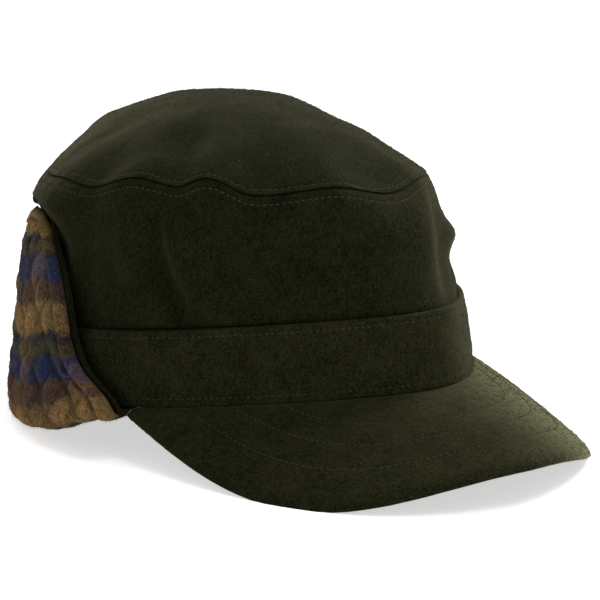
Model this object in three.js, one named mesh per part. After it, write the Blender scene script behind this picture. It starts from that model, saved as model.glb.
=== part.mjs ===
import * as THREE from "three";

// A wool cap with a peak and one wrap-round earflap, folded up and resting on a table.
// Millimetres. +Z is up, the peak points to -Y and the wearer's left is +X.
// Angles are degrees round the head opening: 0 at the front, 90 at the wearer's left, 180 at the back.
// "Out" is measured level, away from the head opening's outer edge; "rise" is measured from the hem.

// The head opening: its outside edge is 590 mm round, for a head of about 580 mm.
const OPENING = { halfWidth: 85.1, front: 108.3, back: 103, pointed: 0.036, egg: 0.105, wave: 0.8 };
// How much of the point and of the widening is left at the back of an oval.
const BACK_POINT = 0.35;
const TAPER_EASE = 0.45;
// The cap leans back, because its peak lifts the front of it off the table.
const LEAN = THREE.MathUtils.degToRad(7);
const LIFT = 17.3;

const COLUMNS = 72;
const SEWN_GAP = 0.4;
const WOOL = 1.9;

const BAND = { height: 29, lean: 2.1, swell: 0.5 };

// The crown's side panel: from behind the band up to the seam of the tip panel.
const CROWN_FOOT = 1;
const SEAM = { halfWidth: 72, front: 90, back: 88, behind: 9, aside: -4, pointed: 0.02, egg: 0.04 };
// Height of the tip seam above the table. It waves where the cloth puckers.
const SEAM_HEIGHTS = [
  { angle: -180, height: 109.5 },
  { angle: -166, height: 103 },
  { angle: -152, height: 97.3 },
  { angle: -133, height: 94.8 },
  { angle: -118, height: 97 },
  { angle: -102, height: 99.2 },
  { angle: -90, height: 98.7 },
  { angle: -71, height: 105.4 },
  { angle: -60.5, height: 103.4 },
  { angle: -52, height: 107.4 },
  { angle: -40, height: 101.7 },
  { angle: -18, height: 107.5 },
  { angle: 4, height: 101.4 },
  { angle: 22, height: 104.5 },
  { angle: 38, height: 101.5 },
  { angle: 54, height: 100.5 },
  { angle: 74, height: 95.5 },
  { angle: 92, height: 96.5 },
  { angle: 112, height: 93.5 },
  { angle: 135, height: 95.5 },
  { angle: 158, height: 103 },
];
// How far the side panel stands out from a straight line between band and seam.
const CROWN_PROFILE = [
  { share: 0, front: 0, flap: 0 },
  { share: 0.14, front: 1.4, flap: 0.6 },
  { share: 0.3, front: 2.4, flap: -0.6 },
  { share: 0.46, front: 3.6, flap: -1.6 },
  { share: 0.6, front: 4.6, flap: -0.8 },
  { share: 0.74, front: 5.4, flap: 0.8 },
  { share: 0.82, front: 5.7, flap: 2.4 },
  { share: 0.9, front: 5, flap: 6.6 },
  { share: 0.97, front: 2.8, flap: 3.6 },
  { share: 1, front: 0, flap: 0 },
];
// The side panel is slack at the wearer's left front, where it stands out less.
const SLACK = { angle: 62, width: 30, share: 0.8 };
// Folds of the side panel: a ridge has a positive depth and a hollow a negative one.
// A fold's middle runs through the three angles, from the band up to the seam.
const CROWN_FOLDS = [
  { low: -66, middle: -76, high: -70, width: 5, depth: 2.6 },
  { low: -61, middle: -70, high: -64, width: 4, depth: -3.4 },
  { low: -50, middle: -65, high: -58, width: 5, depth: 2.2 },
  { low: -88, middle: -90, high: -86, width: 6, depth: -2 },
  { low: -30, middle: -36, high: -40, width: 9, depth: -1.6 },
  { low: 20, middle: 26, high: 24, width: 9, depth: -2 },
  { low: 44, middle: 50, high: 46, width: 8, depth: 2.4 },
  { low: 58, middle: 64, high: 62, width: 5, depth: -3 },
  { low: 70, middle: 76, high: 74, width: 6, depth: 2 },
  { low: 118, middle: 124, high: 120, width: 9, depth: -2 },
  { low: 156, middle: 150, high: 152, width: 9, depth: -2 },
  { low: -118, middle: -120, high: -122, width: 20, depth: -5 },
];

// The tip: the domed oval panel on top.
// It is fuller towards its full side than across from it.
const TIP = { height: 127.8, x: -2, y: 12, rimHeight: 101, fullness: 2.35, lopsided: 0.2, fullSide: -115 };
const TIP_ROWS = [0.05, 0.14, 0.28, 0.46, 0.7];
// Soft hollows in the tip: a place, how far it reaches and how deep it is.
const TIP_HOLLOWS = [
  { x: -44, y: 30, reach: 20, depth: 3 },
  { x: -50, y: -14, reach: 15, depth: 2.2 },
  { x: 46, y: 2, reach: 26, depth: 4 },
  { x: 26, y: -48, reach: 18, depth: 1.6 },
];

// The peak: a stiff board covered in cloth, sewn under the band's lower edge.
const PEAK = { end: 72.6, edgeEnd: 80, front: 159.2, corner: 86.4, thickness: 3.8, columns: 36 };
const PEAK_SHAPE = { along: 3.06, across: 1.62, middleDrop: 23.4, cornerDrop: 61.1 };
// The peak arches up a little along each line from band to edge, more where it is wide.
const PEAK_SLOPE = { arch: 2, archedFrom: 40, least: 0.22 };
const PEAK_ROWS = [0, 0.2, 0.42, 0.64, 0.84, 0.965];

// The earflap: sewn at the hem from ear to ear round the back, and folded up outside.
const FLAP_COLUMNS = 48;
const SHELL = 1.3;
const PLY_GAP = 0.35;
const PIPING_TOP = 1.6;
const PIPING_FRONT = 1.6;
// The flap's front edge slants back as it rises. The left one is set back a little from the right one.
const LEFT_SETBACK = 2.6;
const FLAP_EDGE = [
  { rise: -12, angle: 75.2 },
  { rise: 0, angle: 75.2 },
  { rise: 5, angle: 78 },
  { rise: 11, angle: 82.6 },
  { rise: 19, angle: 86.6 },
  { rise: 32, angle: 89.9 },
  { rise: 47, angle: 93.6 },
  { rise: 59, angle: 98.8 },
  { rise: 65, angle: 103 },
  { rise: 74, angle: 110 },
];
// Where the flap's outer face stands, how thick its padding is and how high it reaches.
const FLAP_SIDE = [
  { rise: 0, out: 12.4, pad: 5.8 },
  { rise: 10, out: 11, pad: 5.8 },
  { rise: 20, out: 9.4, pad: 5.4 },
  { rise: 40, out: 6, pad: 5 },
  { rise: 60, out: 1.5, pad: 4.6 },
  { rise: 76, out: -4.8, pad: 4 },
];
const FLAP_TOP = [
  { share: 0, height: 59 },
  { share: 0.35, height: 61 },
  { share: 0.65, height: 70 },
  { share: 0.85, height: 73.4 },
  { share: 0.94, height: 72.6 },
  { share: 1, height: 69 },
];
// How far the fold at the flap's foot hangs below the hem, before it meets the table.
const FLAP_DROP = [
  { angle: 74, drop: 4 },
  { angle: 80, drop: 5.4 },
  { angle: 90, drop: 8.2 },
  { angle: 100, drop: 10.6 },
  { angle: 112, drop: 12 },
  { angle: 180, drop: 12 },
];
const FULL_DROP = 11;
const FLAP_ROWS = [0.07, 0.2, 0.34, 0.48, 0.62, 0.76, 0.88, 0.96];

const OLIVE = 0x2b2d1d;
const PLAID = 0x6a5236;

function smooth(t) {
  return t * t * (3 - 2 * t);
}

// Reads a column of a table between its rows, with an eased step from row to row.
function lookUp(table, key, value, column, ease = smooth) {
  const first = table[0];
  if (value <= first[key]) return first[column];
  for (let i = 1; i < table.length; i += 1) {
    const low = table[i - 1];
    const high = table[i];
    if (value <= high[key]) {
      const t = ease((value - low[key]) / (high[key] - low[key]));
      return low[column] + (high[column] - low[column]) * t;
    }
  }
  return table[table.length - 1][column];
}

const straight = (t) => t;

function seamHeight(angle) {
  const wrapped = [...SEAM_HEIGHTS, { ...SEAM_HEIGHTS[0], angle: 180 }];
  return lookUp(wrapped, "angle", angle, "height");
}

// An oval that is pointed a little at the front and rounder at the back, where it is also wider.
function oval(shape, angle) {
  const a = THREE.MathUtils.degToRad(angle);
  const ahead = smooth((1 + Math.cos(a)) / 2);
  const k = shape.pointed * (BACK_POINT + (1 - BACK_POINT) * ahead);
  const across = (1 - k) * Math.sin(a) - k * Math.sin(3 * a);
  const along = -((1 - k) * Math.cos(a) + k * Math.cos(3 * a));
  const taper = 1 + shape.egg * along * (1 - TAPER_EASE * along);
  const length = along < 0 ? shape.front : shape.back;
  return new THREE.Vector2(shape.halfWidth * across * taper, length * along);
}

function outward(shape, angle) {
  const step = 1;
  const ahead = oval(shape, angle + step);
  const t = ahead.sub(oval(shape, angle - step));
  return new THREE.Vector2(t.y, -t.x).normalize();
}

// Turns a place given square to the head opening into one above the table.
function lean(x, y, rise) {
  const c = Math.cos(LEAN);
  const s = Math.sin(LEAN);
  return new THREE.Vector3(x, y * c + rise * s, -y * s + rise * c + LIFT);
}

function atHem(angle, out, rise) {
  const p = oval(OPENING, angle).addScaledVector(outward(OPENING, angle), out);
  const wave = OPENING.wave * Math.cos(2 * THREE.MathUtils.degToRad(angle));
  return lean(p.x, p.y, rise + wave);
}

function atSeam(angle, out, rise) {
  const p = oval(SEAM, angle).addScaledVector(outward(SEAM, angle), out);
  return new THREE.Vector3(p.x + SEAM.aside, p.y + SEAM.behind, seamHeight(angle) + rise);
}

function geometry(points, triangles) {
  const shape = new THREE.BufferGeometry();
  const places = points.flatMap((p) => [p.x, p.y, p.z]);
  shape.setAttribute("position", new THREE.Float32BufferAttribute(places, 3));
  shape.setIndex(triangles);
  shape.computeVertexNormals();
  return shape;
}

// A closed wall from rows of points, each row a closed loop, that go once round the wall's section.
function ringWall(rows) {
  const across = rows[0].length;
  const triangles = [];
  for (let r = 0; r < rows.length; r += 1) {
    const next = (r + 1) % rows.length;
    for (let c = 0; c < across; c += 1) {
      const side = (c + 1) % across;
      const [a, b] = [r * across + c, r * across + side];
      const [d, e] = [next * across + c, next * across + side];
      triangles.push(a, b, e, a, e, d);
    }
  }
  return geometry(rows.flat(), triangles);
}

// A closed strip from sections, each a closed loop of points made of two sides of equal length.
function stripWall(sections) {
  const size = sections[0].length;
  const triangles = [];
  for (let s = 0; s + 1 < sections.length; s += 1) {
    for (let i = 0; i < size; i += 1) {
      const j = (i + 1) % size;
      const [a, b] = [s * size + i, s * size + j];
      const [d, e] = [a + size, b + size];
      triangles.push(a, d, e, a, e, b);
    }
  }
  const last = (sections.length - 1) * size;
  for (let i = 0; i + 1 < size / 2; i += 1) {
    const k = size - 1 - i;
    triangles.push(i, i + 1, k - 1, i, k - 1, k);
    triangles.push(last + i, last + k - 1, last + i + 1, last + i, last + k, last + k - 1);
  }
  return geometry(sections.flat(), triangles);
}

// A closed dome from rows over its top and rows under it, both listed from the rim to the middle.
function domeWall(over, under, top, bottom) {
  const across = over[0].length;
  const rows = [...under.slice().reverse(), ...over];
  const points = [...rows.flat(), bottom, top];
  const triangles = [];
  for (let r = 0; r + 1 < rows.length; r += 1) {
    for (let c = 0; c < across; c += 1) {
      const side = (c + 1) % across;
      const [a, b] = [r * across + c, r * across + side];
      const [d, e] = [a + across, b + across];
      triangles.push(a, b, e, a, e, d);
    }
  }
  const middle = rows.length * across;
  const lastRow = middle - across;
  for (let c = 0; c < across; c += 1) {
    const side = (c + 1) % across;
    triangles.push(middle, side, c);
    triangles.push(middle + 1, lastRow + c, lastRow + side);
  }
  return geometry(points, triangles);
}

function loop(place) {
  const points = [];
  for (let c = 0; c < COLUMNS; c += 1) points.push(place(-180 + (360 * c) / COLUMNS));
  return points;
}

function makeBand() {
  const { height, lean: inset, swell } = BAND;
  const middle = height / 2;
  return ringWall([
    loop((a) => atHem(a, 0, 0)),
    loop((a) => atHem(a, -inset / 2 + swell, middle)),
    loop((a) => atHem(a, -inset, height)),
    loop((a) => atHem(a, -inset - WOOL, height)),
    loop((a) => atHem(a, -WOOL, 0)),
  ]);
}

function foldDepth(angle, share) {
  let depth = 0;
  for (const fold of CROWN_FOLDS) {
    const low = fold.low * (1 - share) ** 2;
    const middle = fold.middle * 2 * share * (1 - share);
    const centre = low + middle + fold.high * share ** 2;
    const away = ((angle - centre + 540) % 360) - 180;
    const fade = Math.sin(Math.PI * Math.min(1, share * 1.05)) ** 0.7;
    depth += fold.depth * fade * Math.exp(-((away / fold.width) ** 2));
  }
  return depth;
}

// How much the flap lies against the crown at an angle: 0 in front, 1 at the sides and back.
function flapShare(angle) {
  return smooth(THREE.MathUtils.clamp((Math.abs(angle) - 88) / 18, 0, 1));
}

function crownPoint(angle, share, inside) {
  const low = atHem(angle, -BAND.lean - WOOL - SEWN_GAP - inside, BAND.height);
  const high = atSeam(angle, -inside, 0);
  const flap = flapShare(angle);
  const front = lookUp(CROWN_PROFILE, "share", share, "front", straight);
  const back = lookUp(CROWN_PROFILE, "share", share, "flap", straight);
  const slack = 1 - SLACK.share * Math.exp(-(((angle - SLACK.angle) / SLACK.width) ** 2));
  const stand = front * slack * (1 - flap) + back * flap + foldDepth(angle, share);
  const normal = outward(OPENING, angle);
  const point = low.lerp(high, share);
  return point.add(new THREE.Vector3(normal.x * stand, normal.y * stand, 0));
}

function makeCrownSide() {
  const shares = CROWN_PROFILE.map((row) => row.share);
  const outer = shares.map((share) => loop((a) => crownPoint(a, share, 0)));
  const innerShares = shares.filter((share, i) => i % 2 === 0);
  const inner = innerShares.map((share) => loop((a) => crownPoint(a, share, WOOL)));
  const tucked = -WOOL - SEWN_GAP;
  return ringWall([
    loop((a) => atHem(a, tucked - (BAND.lean * CROWN_FOOT) / BAND.height, CROWN_FOOT)),
    ...outer,
    ...inner.reverse(),
    loop((a) => atHem(a, tucked - WOOL, CROWN_FOOT)),
  ]);
}

function tipPoint(angle, share, inside) {
  const rim = atSeam(angle, -inside * (1 - share), SEWN_GAP);
  const x = rim.x * (1 - share) + TIP.x * share;
  const y = rim.y * (1 - share) + TIP.y * share;
  const turn = THREE.MathUtils.degToRad(angle - TIP.fullSide);
  const fullness = TIP.fullness + TIP.lopsided * Math.cos(turn);
  const rise = 1 - (1 - share) ** fullness;
  const wave = (rim.z - TIP.rimHeight) * (1 - share) ** 3;
  let z = TIP.rimHeight + wave + (TIP.height - TIP.rimHeight) * rise;
  for (const hollow of TIP_HOLLOWS) {
    const away = Math.hypot(x - hollow.x, y - hollow.y) / hollow.reach;
    z -= hollow.depth * Math.min(1, share * 5) * Math.exp(-(away ** 2));
  }
  return new THREE.Vector3(x, y, z - inside * Math.min(1, share * 8));
}

function makeTip() {
  const over = [0, ...TIP_ROWS].map((share) => loop((a) => tipPoint(a, share, 0)));
  const under = [0, ...TIP_ROWS].map((share) => loop((a) => tipPoint(a, share, WOOL)));
  return domeWall(over, under, tipPoint(0, 1, 0), tipPoint(0, 1, WOOL));
}

// The peak's free edge, square to the head opening, from the wearer's right to the left.
function peakEdge(turn) {
  const s = (turn * Math.PI) / 2;
  const start = oval(OPENING, PEAK.edgeEnd);
  const ahead = Math.abs(Math.cos(s)) ** (2 / PEAK_SHAPE.along);
  const aside = Math.sign(s) * Math.abs(Math.sin(s)) ** (2 / PEAK_SHAPE.across);
  const x = aside * (start.x * (1 - ahead) + PEAK.corner * ahead);
  const y = start.y + (-PEAK.front - start.y) * ahead;
  const arch = (PEAK_SHAPE.cornerDrop - PEAK_SHAPE.middleDrop) * (1 - (x / PEAK.corner) ** 2);
  return lean(x, y, (arch - PEAK_SHAPE.cornerDrop) * ahead);
}

// Points at even spacing along a curve, leaving out a little at both ends.
function evenly(curve, count, leftOut) {
  const fine = 600;
  const points = [];
  for (let i = 0; i <= fine; i += 1) points.push(curve(-1 + (2 * i) / fine));
  const lengths = [0];
  for (let i = 1; i <= fine; i += 1) lengths.push(lengths[i - 1] + points[i].distanceTo(points[i - 1]));
  const total = lengths[fine];
  const picked = [];
  let i = 0;
  for (let c = 0; c <= count; c += 1) {
    const wanted = leftOut + ((total - 2 * leftOut) * c) / count;
    while (lengths[i + 1] < wanted) i += 1;
    const t = (wanted - lengths[i]) / (lengths[i + 1] - lengths[i]);
    picked.push(points[i].clone().lerp(points[i + 1], t));
  }
  return picked;
}

function onTable(point) {
  point.z = Math.max(point.z, 0);
  return point;
}

function makePeak() {
  const leftOut = 9.6;
  const edge = evenly(peakEdge, PEAK.columns, leftOut);
  const half = PEAK.thickness / 2;
  const sections = edge.map((rim, c) => {
    const turn = -1 + (2 * c) / PEAK.columns;
    const root = atHem(PEAK.end * turn, -1.2, -SEWN_GAP);
    const width = Math.hypot(rim.x - root.x, rim.y - root.y);
    const highest = root.z - width * PEAK_SLOPE.least;
    const rimTop = rim.clone().setZ(Math.min(rim.z + half, highest));
    const arch = PEAK_SLOPE.arch * Math.min(1, width / PEAK_SLOPE.archedFrom);
    const top = PEAK_ROWS.map((share) => {
      const point = root.clone().lerp(rimTop, share);
      point.z += arch * 4 * share * (1 - share);
      return point;
    });
    const under = top.map((point) => onTable(point.clone().setZ(point.z - PEAK.thickness)));
    const face = rim.clone().setZ(rimTop.z - half);
    const foot = onTable(face.clone().setZ(face.z - 0.8));
    return [...under, foot, onTable(face), ...top.reverse()];
  });
  return stripWall(sections);
}

// One place on the flap: share runs from the wearer's left edge (-1) over the back (0) to the right (1).
function flapAngle(share, rise, border) {
  const edge = lookUp(FLAP_EDGE, "rise", rise, "angle", straight) + border;
  const fromBack = 180 - edge - (share < 0 ? LEFT_SETBACK : 0);
  const angle = 180 + fromBack * share;
  return angle > 180 ? angle - 360 : angle;
}

function flapFoot(share, border, out, depth) {
  const angle = flapAngle(share, 0, border);
  const free = lookUp(FLAP_DROP, "angle", Math.abs(angle), "drop");
  const hem = atHem(angle, 0, 0).z;
  const drop = Math.min(free, hem);
  const point = atHem(angle, out, 0);
  point.z = hem - (depth * drop) / FULL_DROP;
  return onTable(point);
}

function flapSide(share, border, part, short, inward) {
  const top = lookUp(FLAP_TOP, "share", Math.abs(share), "height") - short;
  const rise = top * part;
  const angle = flapAngle(share, rise, border);
  const out = lookUp(FLAP_SIDE, "rise", rise, "out", straight);
  const pad = lookUp(FLAP_SIDE, "rise", rise, "pad", straight);
  return atHem(angle, out - inward(pad), rise);
}

function flapSections(border, foot, short, near, far, top) {
  const sections = [];
  for (let c = 0; c <= FLAP_COLUMNS; c += 1) {
    const share = -1 + (2 * c) / FLAP_COLUMNS;
    const nearSide = FLAP_ROWS.map((part) => flapSide(share, border, part, short, near));
    const farSide = FLAP_ROWS.map((part) => flapSide(share, border, part, short, far));
    const nearFoot = foot.map((row) => flapFoot(share, border, row.nearOut, row.nearDepth));
    const farFoot = foot.map((row) => flapFoot(share, border, row.farOut, row.farDepth));
    const nearTop = flapSide(share, border, 1, short, (pad) => near(pad) - top);
    const farTop = flapSide(share, border, 1, short, (pad) => far(pad) + top);
    const nearPath = [...nearFoot, ...nearSide, nearTop];
    const farPath = [...farFoot, ...farSide, farTop];
    sections.push([...farPath, ...nearPath.reverse()]);
  }
  return sections;
}

// The wool ply, which faces the crown when the flap is up, and shows as an edge round the lining.
function makeFlapShell() {
  const foot = [
    { nearOut: -1.7, nearDepth: 0.9, farOut: -3, farDepth: 0.9 },
    { nearOut: -0.6, nearDepth: 2.8, farOut: -1.8, farDepth: 4 },
    { nearOut: 2.4, nearDepth: 3.7, farOut: 2.2, farDepth: 5.2 },
    { nearOut: 4.6, nearDepth: 1.7, farOut: 5.8, farDepth: 2.6 },
  ];
  const near = (pad) => pad + PLY_GAP + SHELL;
  const far = (pad) => pad + PLY_GAP;
  return stripWall(flapSections(0, foot, 0, near, far, 0));
}

// The padded lining, which faces outwards when the flap is up.
function makeFlapLining() {
  const foot = [
    { nearOut: -3.5, nearDepth: 0.9, farOut: -8, farDepth: 0.9 },
    { nearOut: -2.3, nearDepth: 4.5, farOut: -6.8, farDepth: 7.5 },
    { nearOut: 0, nearDepth: 5.8, farOut: -2.5, farDepth: FULL_DROP },
    { nearOut: 3.2, nearDepth: 5.8, farOut: 10.2, farDepth: FULL_DROP },
    { nearOut: 6.3, nearDepth: 2.9, farOut: 13, farDepth: 7 },
  ];
  const near = (pad) => pad;
  const far = () => 0;
  return stripWall(flapSections(PIPING_FRONT, foot, PIPING_TOP, near, far, 1.2));
}

function wool(name, shape) {
  const finish = new THREE.MeshStandardMaterial({ color: OLIVE, roughness: 0.95, metalness: 0 });
  const mesh = new THREE.Mesh(shape, finish);
  mesh.name = name;
  return mesh;
}

function quilted(name, shape) {
  const finish = new THREE.MeshStandardMaterial({ color: PLAID, roughness: 0.9, metalness: 0 });
  const mesh = new THREE.Mesh(shape, finish);
  mesh.name = name;
  return mesh;
}

const cap = new THREE.Group();
cap.add(wool("band", makeBand()));
cap.add(wool("crown_side", makeCrownSide()));
cap.add(wool("crown_tip", makeTip()));
cap.add(wool("peak", makePeak()));
cap.add(wool("earflap_shell", makeFlapShell()));
cap.add(quilted("earflap_lining", makeFlapLining()));

// The origin is under the middle of the whole cap, on the table.
const reach = new THREE.Box3().setFromObject(cap);
cap.position.set(-(reach.min.x + reach.max.x) / 2, -(reach.min.y + reach.max.y) / 2, -reach.min.z);

export default cap;
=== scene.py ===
"""A felted wool cap with a stiff peak and one wrap-round earflap, folded up and resting on a table.

Shapes are worked out in millimetres, square to the frame's axes, and become metres when a mesh is made.
Angles are degrees round the head opening: 0 at the front, 90 at the wearer's left, 180 at the back.
"Out" is measured level, away from the head opening's outer edge; "rise" is measured from the hem.
"""

import itertools
import math

import bpy
import numpy as np
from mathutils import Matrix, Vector


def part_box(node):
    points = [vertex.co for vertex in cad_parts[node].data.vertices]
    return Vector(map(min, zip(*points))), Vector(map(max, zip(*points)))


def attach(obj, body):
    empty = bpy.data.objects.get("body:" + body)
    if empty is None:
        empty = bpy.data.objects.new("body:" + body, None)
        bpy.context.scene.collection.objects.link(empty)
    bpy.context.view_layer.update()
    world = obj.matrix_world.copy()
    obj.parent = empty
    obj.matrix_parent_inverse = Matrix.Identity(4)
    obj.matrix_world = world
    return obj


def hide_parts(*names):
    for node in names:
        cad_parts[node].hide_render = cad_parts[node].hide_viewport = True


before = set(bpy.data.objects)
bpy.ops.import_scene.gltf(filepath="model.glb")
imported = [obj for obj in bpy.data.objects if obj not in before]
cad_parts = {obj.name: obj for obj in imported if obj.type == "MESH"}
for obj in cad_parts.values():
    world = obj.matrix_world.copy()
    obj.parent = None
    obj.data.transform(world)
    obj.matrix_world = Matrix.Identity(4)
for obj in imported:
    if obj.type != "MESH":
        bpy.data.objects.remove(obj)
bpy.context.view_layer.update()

bl_info = {
    "name": "Wool Cap With Earflap",
    "version": (1, 0, 0),
    "blender": (4, 5, 0),
    "location": "View3D > Sidebar > Cap",
    "description": "Builds a felted wool cap with a stiff peak and a quilted plaid earflap",
    "category": "Add Mesh",
}

# The head opening, an oval that is pointed a little at the front and rounder at the back.
OPENING = {"half_width": 85.1, "front": 108.3, "back": 103, "pointed": 0.036, "egg": 0.105, "wave": 0.8}
BACK_POINT = 0.35
TAPER_EASE = 0.45
LEAN = math.radians(7)
LIFT = 17.3

SEWN_GAP = 0.4
WOOL = 1.9
BAND = {"height": 29, "lean": 2.1, "swell": 0.5}

# The crown's side panel, from behind the band up to the tip's seam.
CROWN_FOOT = 1
SEAM = {
    "half_width": 72,
    "front": 90,
    "back": 88,
    "behind": 9,
    "aside": -4,
    "pointed": 0.02,
    "egg": 0.04,
}
# Angle, and height of the tip's seam above the table.
SEAM_HEIGHTS = [
    (-180, 109.5),
    (-166, 103),
    (-152, 97.3),
    (-133, 94.8),
    (-118, 97),
    (-102, 99.2),
    (-90, 98.7),
    (-71, 105.4),
    (-60.5, 103.4),
    (-52, 107.4),
    (-40, 101.7),
    (-18, 104.9),
    (4, 100.8),
    (22, 103.2),
    (38, 102.2),
    (54, 98),
    (74, 94),
    (92, 96),
    (112, 93.5),
    (135, 95.5),
    (158, 103),
    (180, 109.5),
]
# Where the seam is drawn in: angle, reach in degrees and depth.
SEAM_PULLS = [(60, 20, 3.8)]
# Share of the way up, and how far the panel stands out in front and behind the flap.
CROWN_PROFILE = [
    (0, 0, 0),
    (0.14, 1.4, 0.6),
    (0.3, 2.4, -0.6),
    (0.46, 3.6, -1.6),
    (0.6, 4.5, 0),
    (0.7, 4.8, 4),
    (0.76, 4.7, 6),
    (0.82, 4.3, 6.8),
    (0.9, 3, 5.2),
    (1, 0, 0),
]
SLACK = {"angle": 62, "width": 30, "share": 1}
# Folds: the angle low, halfway and high, the width in degrees and the depth.
CROWN_FOLDS = [
    (-66, -76, -70, 5, 3.4),
    (-61, -70, -64, 4, -5.6),
    (-50, -65, -58, 5, 3.6),
    (-88, -90, -86, 6, -2),
    (-30, -36, -40, 9, -1.6),
    (20, 29, 27, 8, -3.4),
    (44, 50, 46, 8, 1.2),
    (58, 64, 62, 5, -3),
    (70, 76, 74, 6, 2),
    (118, 124, 120, 9, -2),
    (156, 150, 152, 9, -2),
    (-118, -120, -122, 20, -2),
]
# Dents and bulges of the side panel: angle, share, reach in degrees, reach in share, depth.
CROWN_DENTS = [
    (46, 0.5, 15, 0.12, 3.9),
    (50, 0.27, 13, 0.1, -1.5),
    (40, 0.12, 2.6, 0.14, -1.1),
    (37, 0.14, 2.4, 0.13, 0.7),
]

# The tip: the domed oval panel on top.
TIP = {
    "height": 127.8,
    "x": -2,
    "y": 12,
    "rim_height": 101,
    "fullness": 2.35,
    "lopsided": 0.2,
    "full_side": -115,
}
# Soft hollows of the tip: x, y, reach and depth.
TIP_HOLLOWS = [
    (-44, 30, 20, 3),
    (-50, -14, 15, 2.2),
    (46, 2, 26, 4),
    (26, -48, 18, 1.6),
    (-27, 88, 15, -2.4),
    (-5, 72, 12, 1.5),
    (22, 6, 15, -1.3),
    (30, -31, 15, -0.9),
]

PEAK = {"end": 74.2, "edge_end": 80, "front": 159.2, "corner": 86.4, "thickness": 3.8, "left_out": 8.4}
PEAK_SHAPE = {"along": 3.06, "across": 1.62, "middle_drop": 23.4, "corner_drop": 61.1}
PEAK_SLOPE = {"arch": 2, "arched_from": 40, "least": 0.22}
# How far the peak's root reaches in under the band.
ROOT_TUCK = 4
# How far in from the peak's edge its three rows of stitches run.
PEAK_ROWS = [13, 23, 33]

# The earflap, sewn at the hem from ear to ear round the back.
SHELL = 1.3
PLY_GAP = 0.35
PIPING_TOP = 0.9
PIPING_FRONT = 0.9
LEFT_SETBACK = 2.6
FULL_DROP = 11
# Rise, and the angle of the flap's front edge.
FLAP_EDGE = [
    (-12, 75.2),
    (0, 75.2),
    (5, 78),
    (11, 82.6),
    (19, 86.6),
    (32, 89.9),
    (47, 93.6),
    (59, 98.8),
    (65, 103),
    (74, 110),
]
# Rise, how far out the flap's outer face stands, and its padding.
FLAP_SIDE = [
    (0, 12.4, 5.8),
    (10, 11, 5.8),
    (20, 9.4, 5.4),
    (40, 6, 5),
    (60, 1.5, 4.6),
    (76, -4.8, 4),
]
# Share of the way from the middle of the back to the front edge, and the flap's height there.
FLAP_TOP = [
    (0, 59),
    (0.35, 61),
    (0.65, 70),
    (0.85, 74),
    (0.94, 73.8),
    (1, 71),
]
# Where the rounding of the flap's top corners starts, and how far it drops.
CORNER_START = 0.965
CORNER_DROP = 2.5
# Angle, and how far the fold at the flap's foot hangs below the hem.
FLAP_DROP = [
    (74, 3.1),
    (80, 3.2),
    (86, 5),
    (92, 8),
    (100, 10.6),
    (112, 12),
    (180, 12),
]
FLAP_PARTS = [0.07, 0.2, 0.34, 0.48, 0.62, 0.76, 0.88, 0.96]
# The fold at the foot: out and depth of the ply's near face, then of its far face.
SHELL_FOOT = [
    (-1.7, 0.9, -3, 0.9),
    (-0.6, 2.8, -1.8, 4),
    (2.4, 3.7, 2.2, 5.2),
    (4.6, 1.7, 5.8, 2.6),
]
LINING_FOOT = [
    (-3.5, 0.9, -8, 0.9),
    (-2.3, 4.5, -6.8, 7.5),
    (0, 5.8, -2.5, FULL_DROP),
    (3.2, 5.8, 10.2, FULL_DROP),
    (6.3, 2.9, 13, 7),
]
LINING_ROUND = 1.2

STITCH_INSET = 3

METRE = 1000
# The direction from which the pale surround is brightest.
BRIGHT_SIDE = (0.7, 0.35, 0.62)
# Each soft light: its name, place and width in metres, and the setting that holds its power.
LIGHTS = [
    ("overhead", (0.3, 0.85, 1.1), 0.9, "top_light"),
    ("right_side", (0.95, 0.1, 0.98), 0.7, "side_light"),
    ("front_top", (0.25, -0.55, 1.35), 0.6, "front_light"),
]
# How the nap lies: its stretch along each axis, and its turn in degrees.
BRUSHED_DOWN = ((1.0, 1.0, 0.5), 0)
BRUSHED_FORWARDS = ((1.0, 0.5, 1.0), 28)
# Each piece's wool, with lightness and sheen as shares of the common looks.
# It is all one cloth, and these shares are only fitted to the photographed tones.
# The lightness shares are painted light and shade: lighter on the band and peak, darker on the tip.
WOOLS = {
    "felted_wool": (*BRUSHED_DOWN, 1.0, 1.0),
    "felted_wool_band": (*BRUSHED_DOWN, 1.45, 1.0),
    "felted_wool_level": (*BRUSHED_FORWARDS, 0.8, 1.2),
    "felted_wool_peak": (*BRUSHED_FORWARDS, 1.25, 5.5),
}
BAND_ROWS = 44
# Which way the loose fibres lean.
NAP_DOWN = (0, 0, -0.5)
NAP_FORWARDS = (0.2, -0.5, 0)


def smooth(t):
    """Eases a share from 0 to 1."""
    return t * t * (3 - 2 * t)


def bump(away, width):
    """A rounded ridge: 1 where away is 0, and almost nothing two widths off."""
    return np.exp(-((away / width) ** 2))


def stepped(table, value, column):
    """Reads a column of a table between its rows, with an eased step from row to row."""
    keys = np.array([row[0] for row in table], float)
    values = np.array([row[column] for row in table], float)
    i = np.clip(np.searchsorted(keys, value) - 1, 0, len(keys) - 2)
    t = smooth(np.clip((value - keys[i]) / (keys[i + 1] - keys[i]), 0, 1))
    return values[i] + (values[i + 1] - values[i]) * t


def flowing(table, value, column):
    """Reads a column of a table on one flowing curve through its rows."""
    keys = np.array([row[0] for row in table], float)
    values = np.array([row[column] for row in table], float)
    slopes = np.gradient(values, keys)
    i = np.clip(np.searchsorted(keys, value) - 1, 0, len(keys) - 2)
    step = keys[i + 1] - keys[i]
    t = np.clip((value - keys[i]) / step, 0, 1)
    start = (1 + 2 * t) * (1 - t) ** 2 * values[i] + t * (1 - t) ** 2 * step * slopes[i]
    end = t * t * (3 - 2 * t) * values[i + 1] - t * t * (1 - t) * step * slopes[i + 1]
    return start + end


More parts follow.
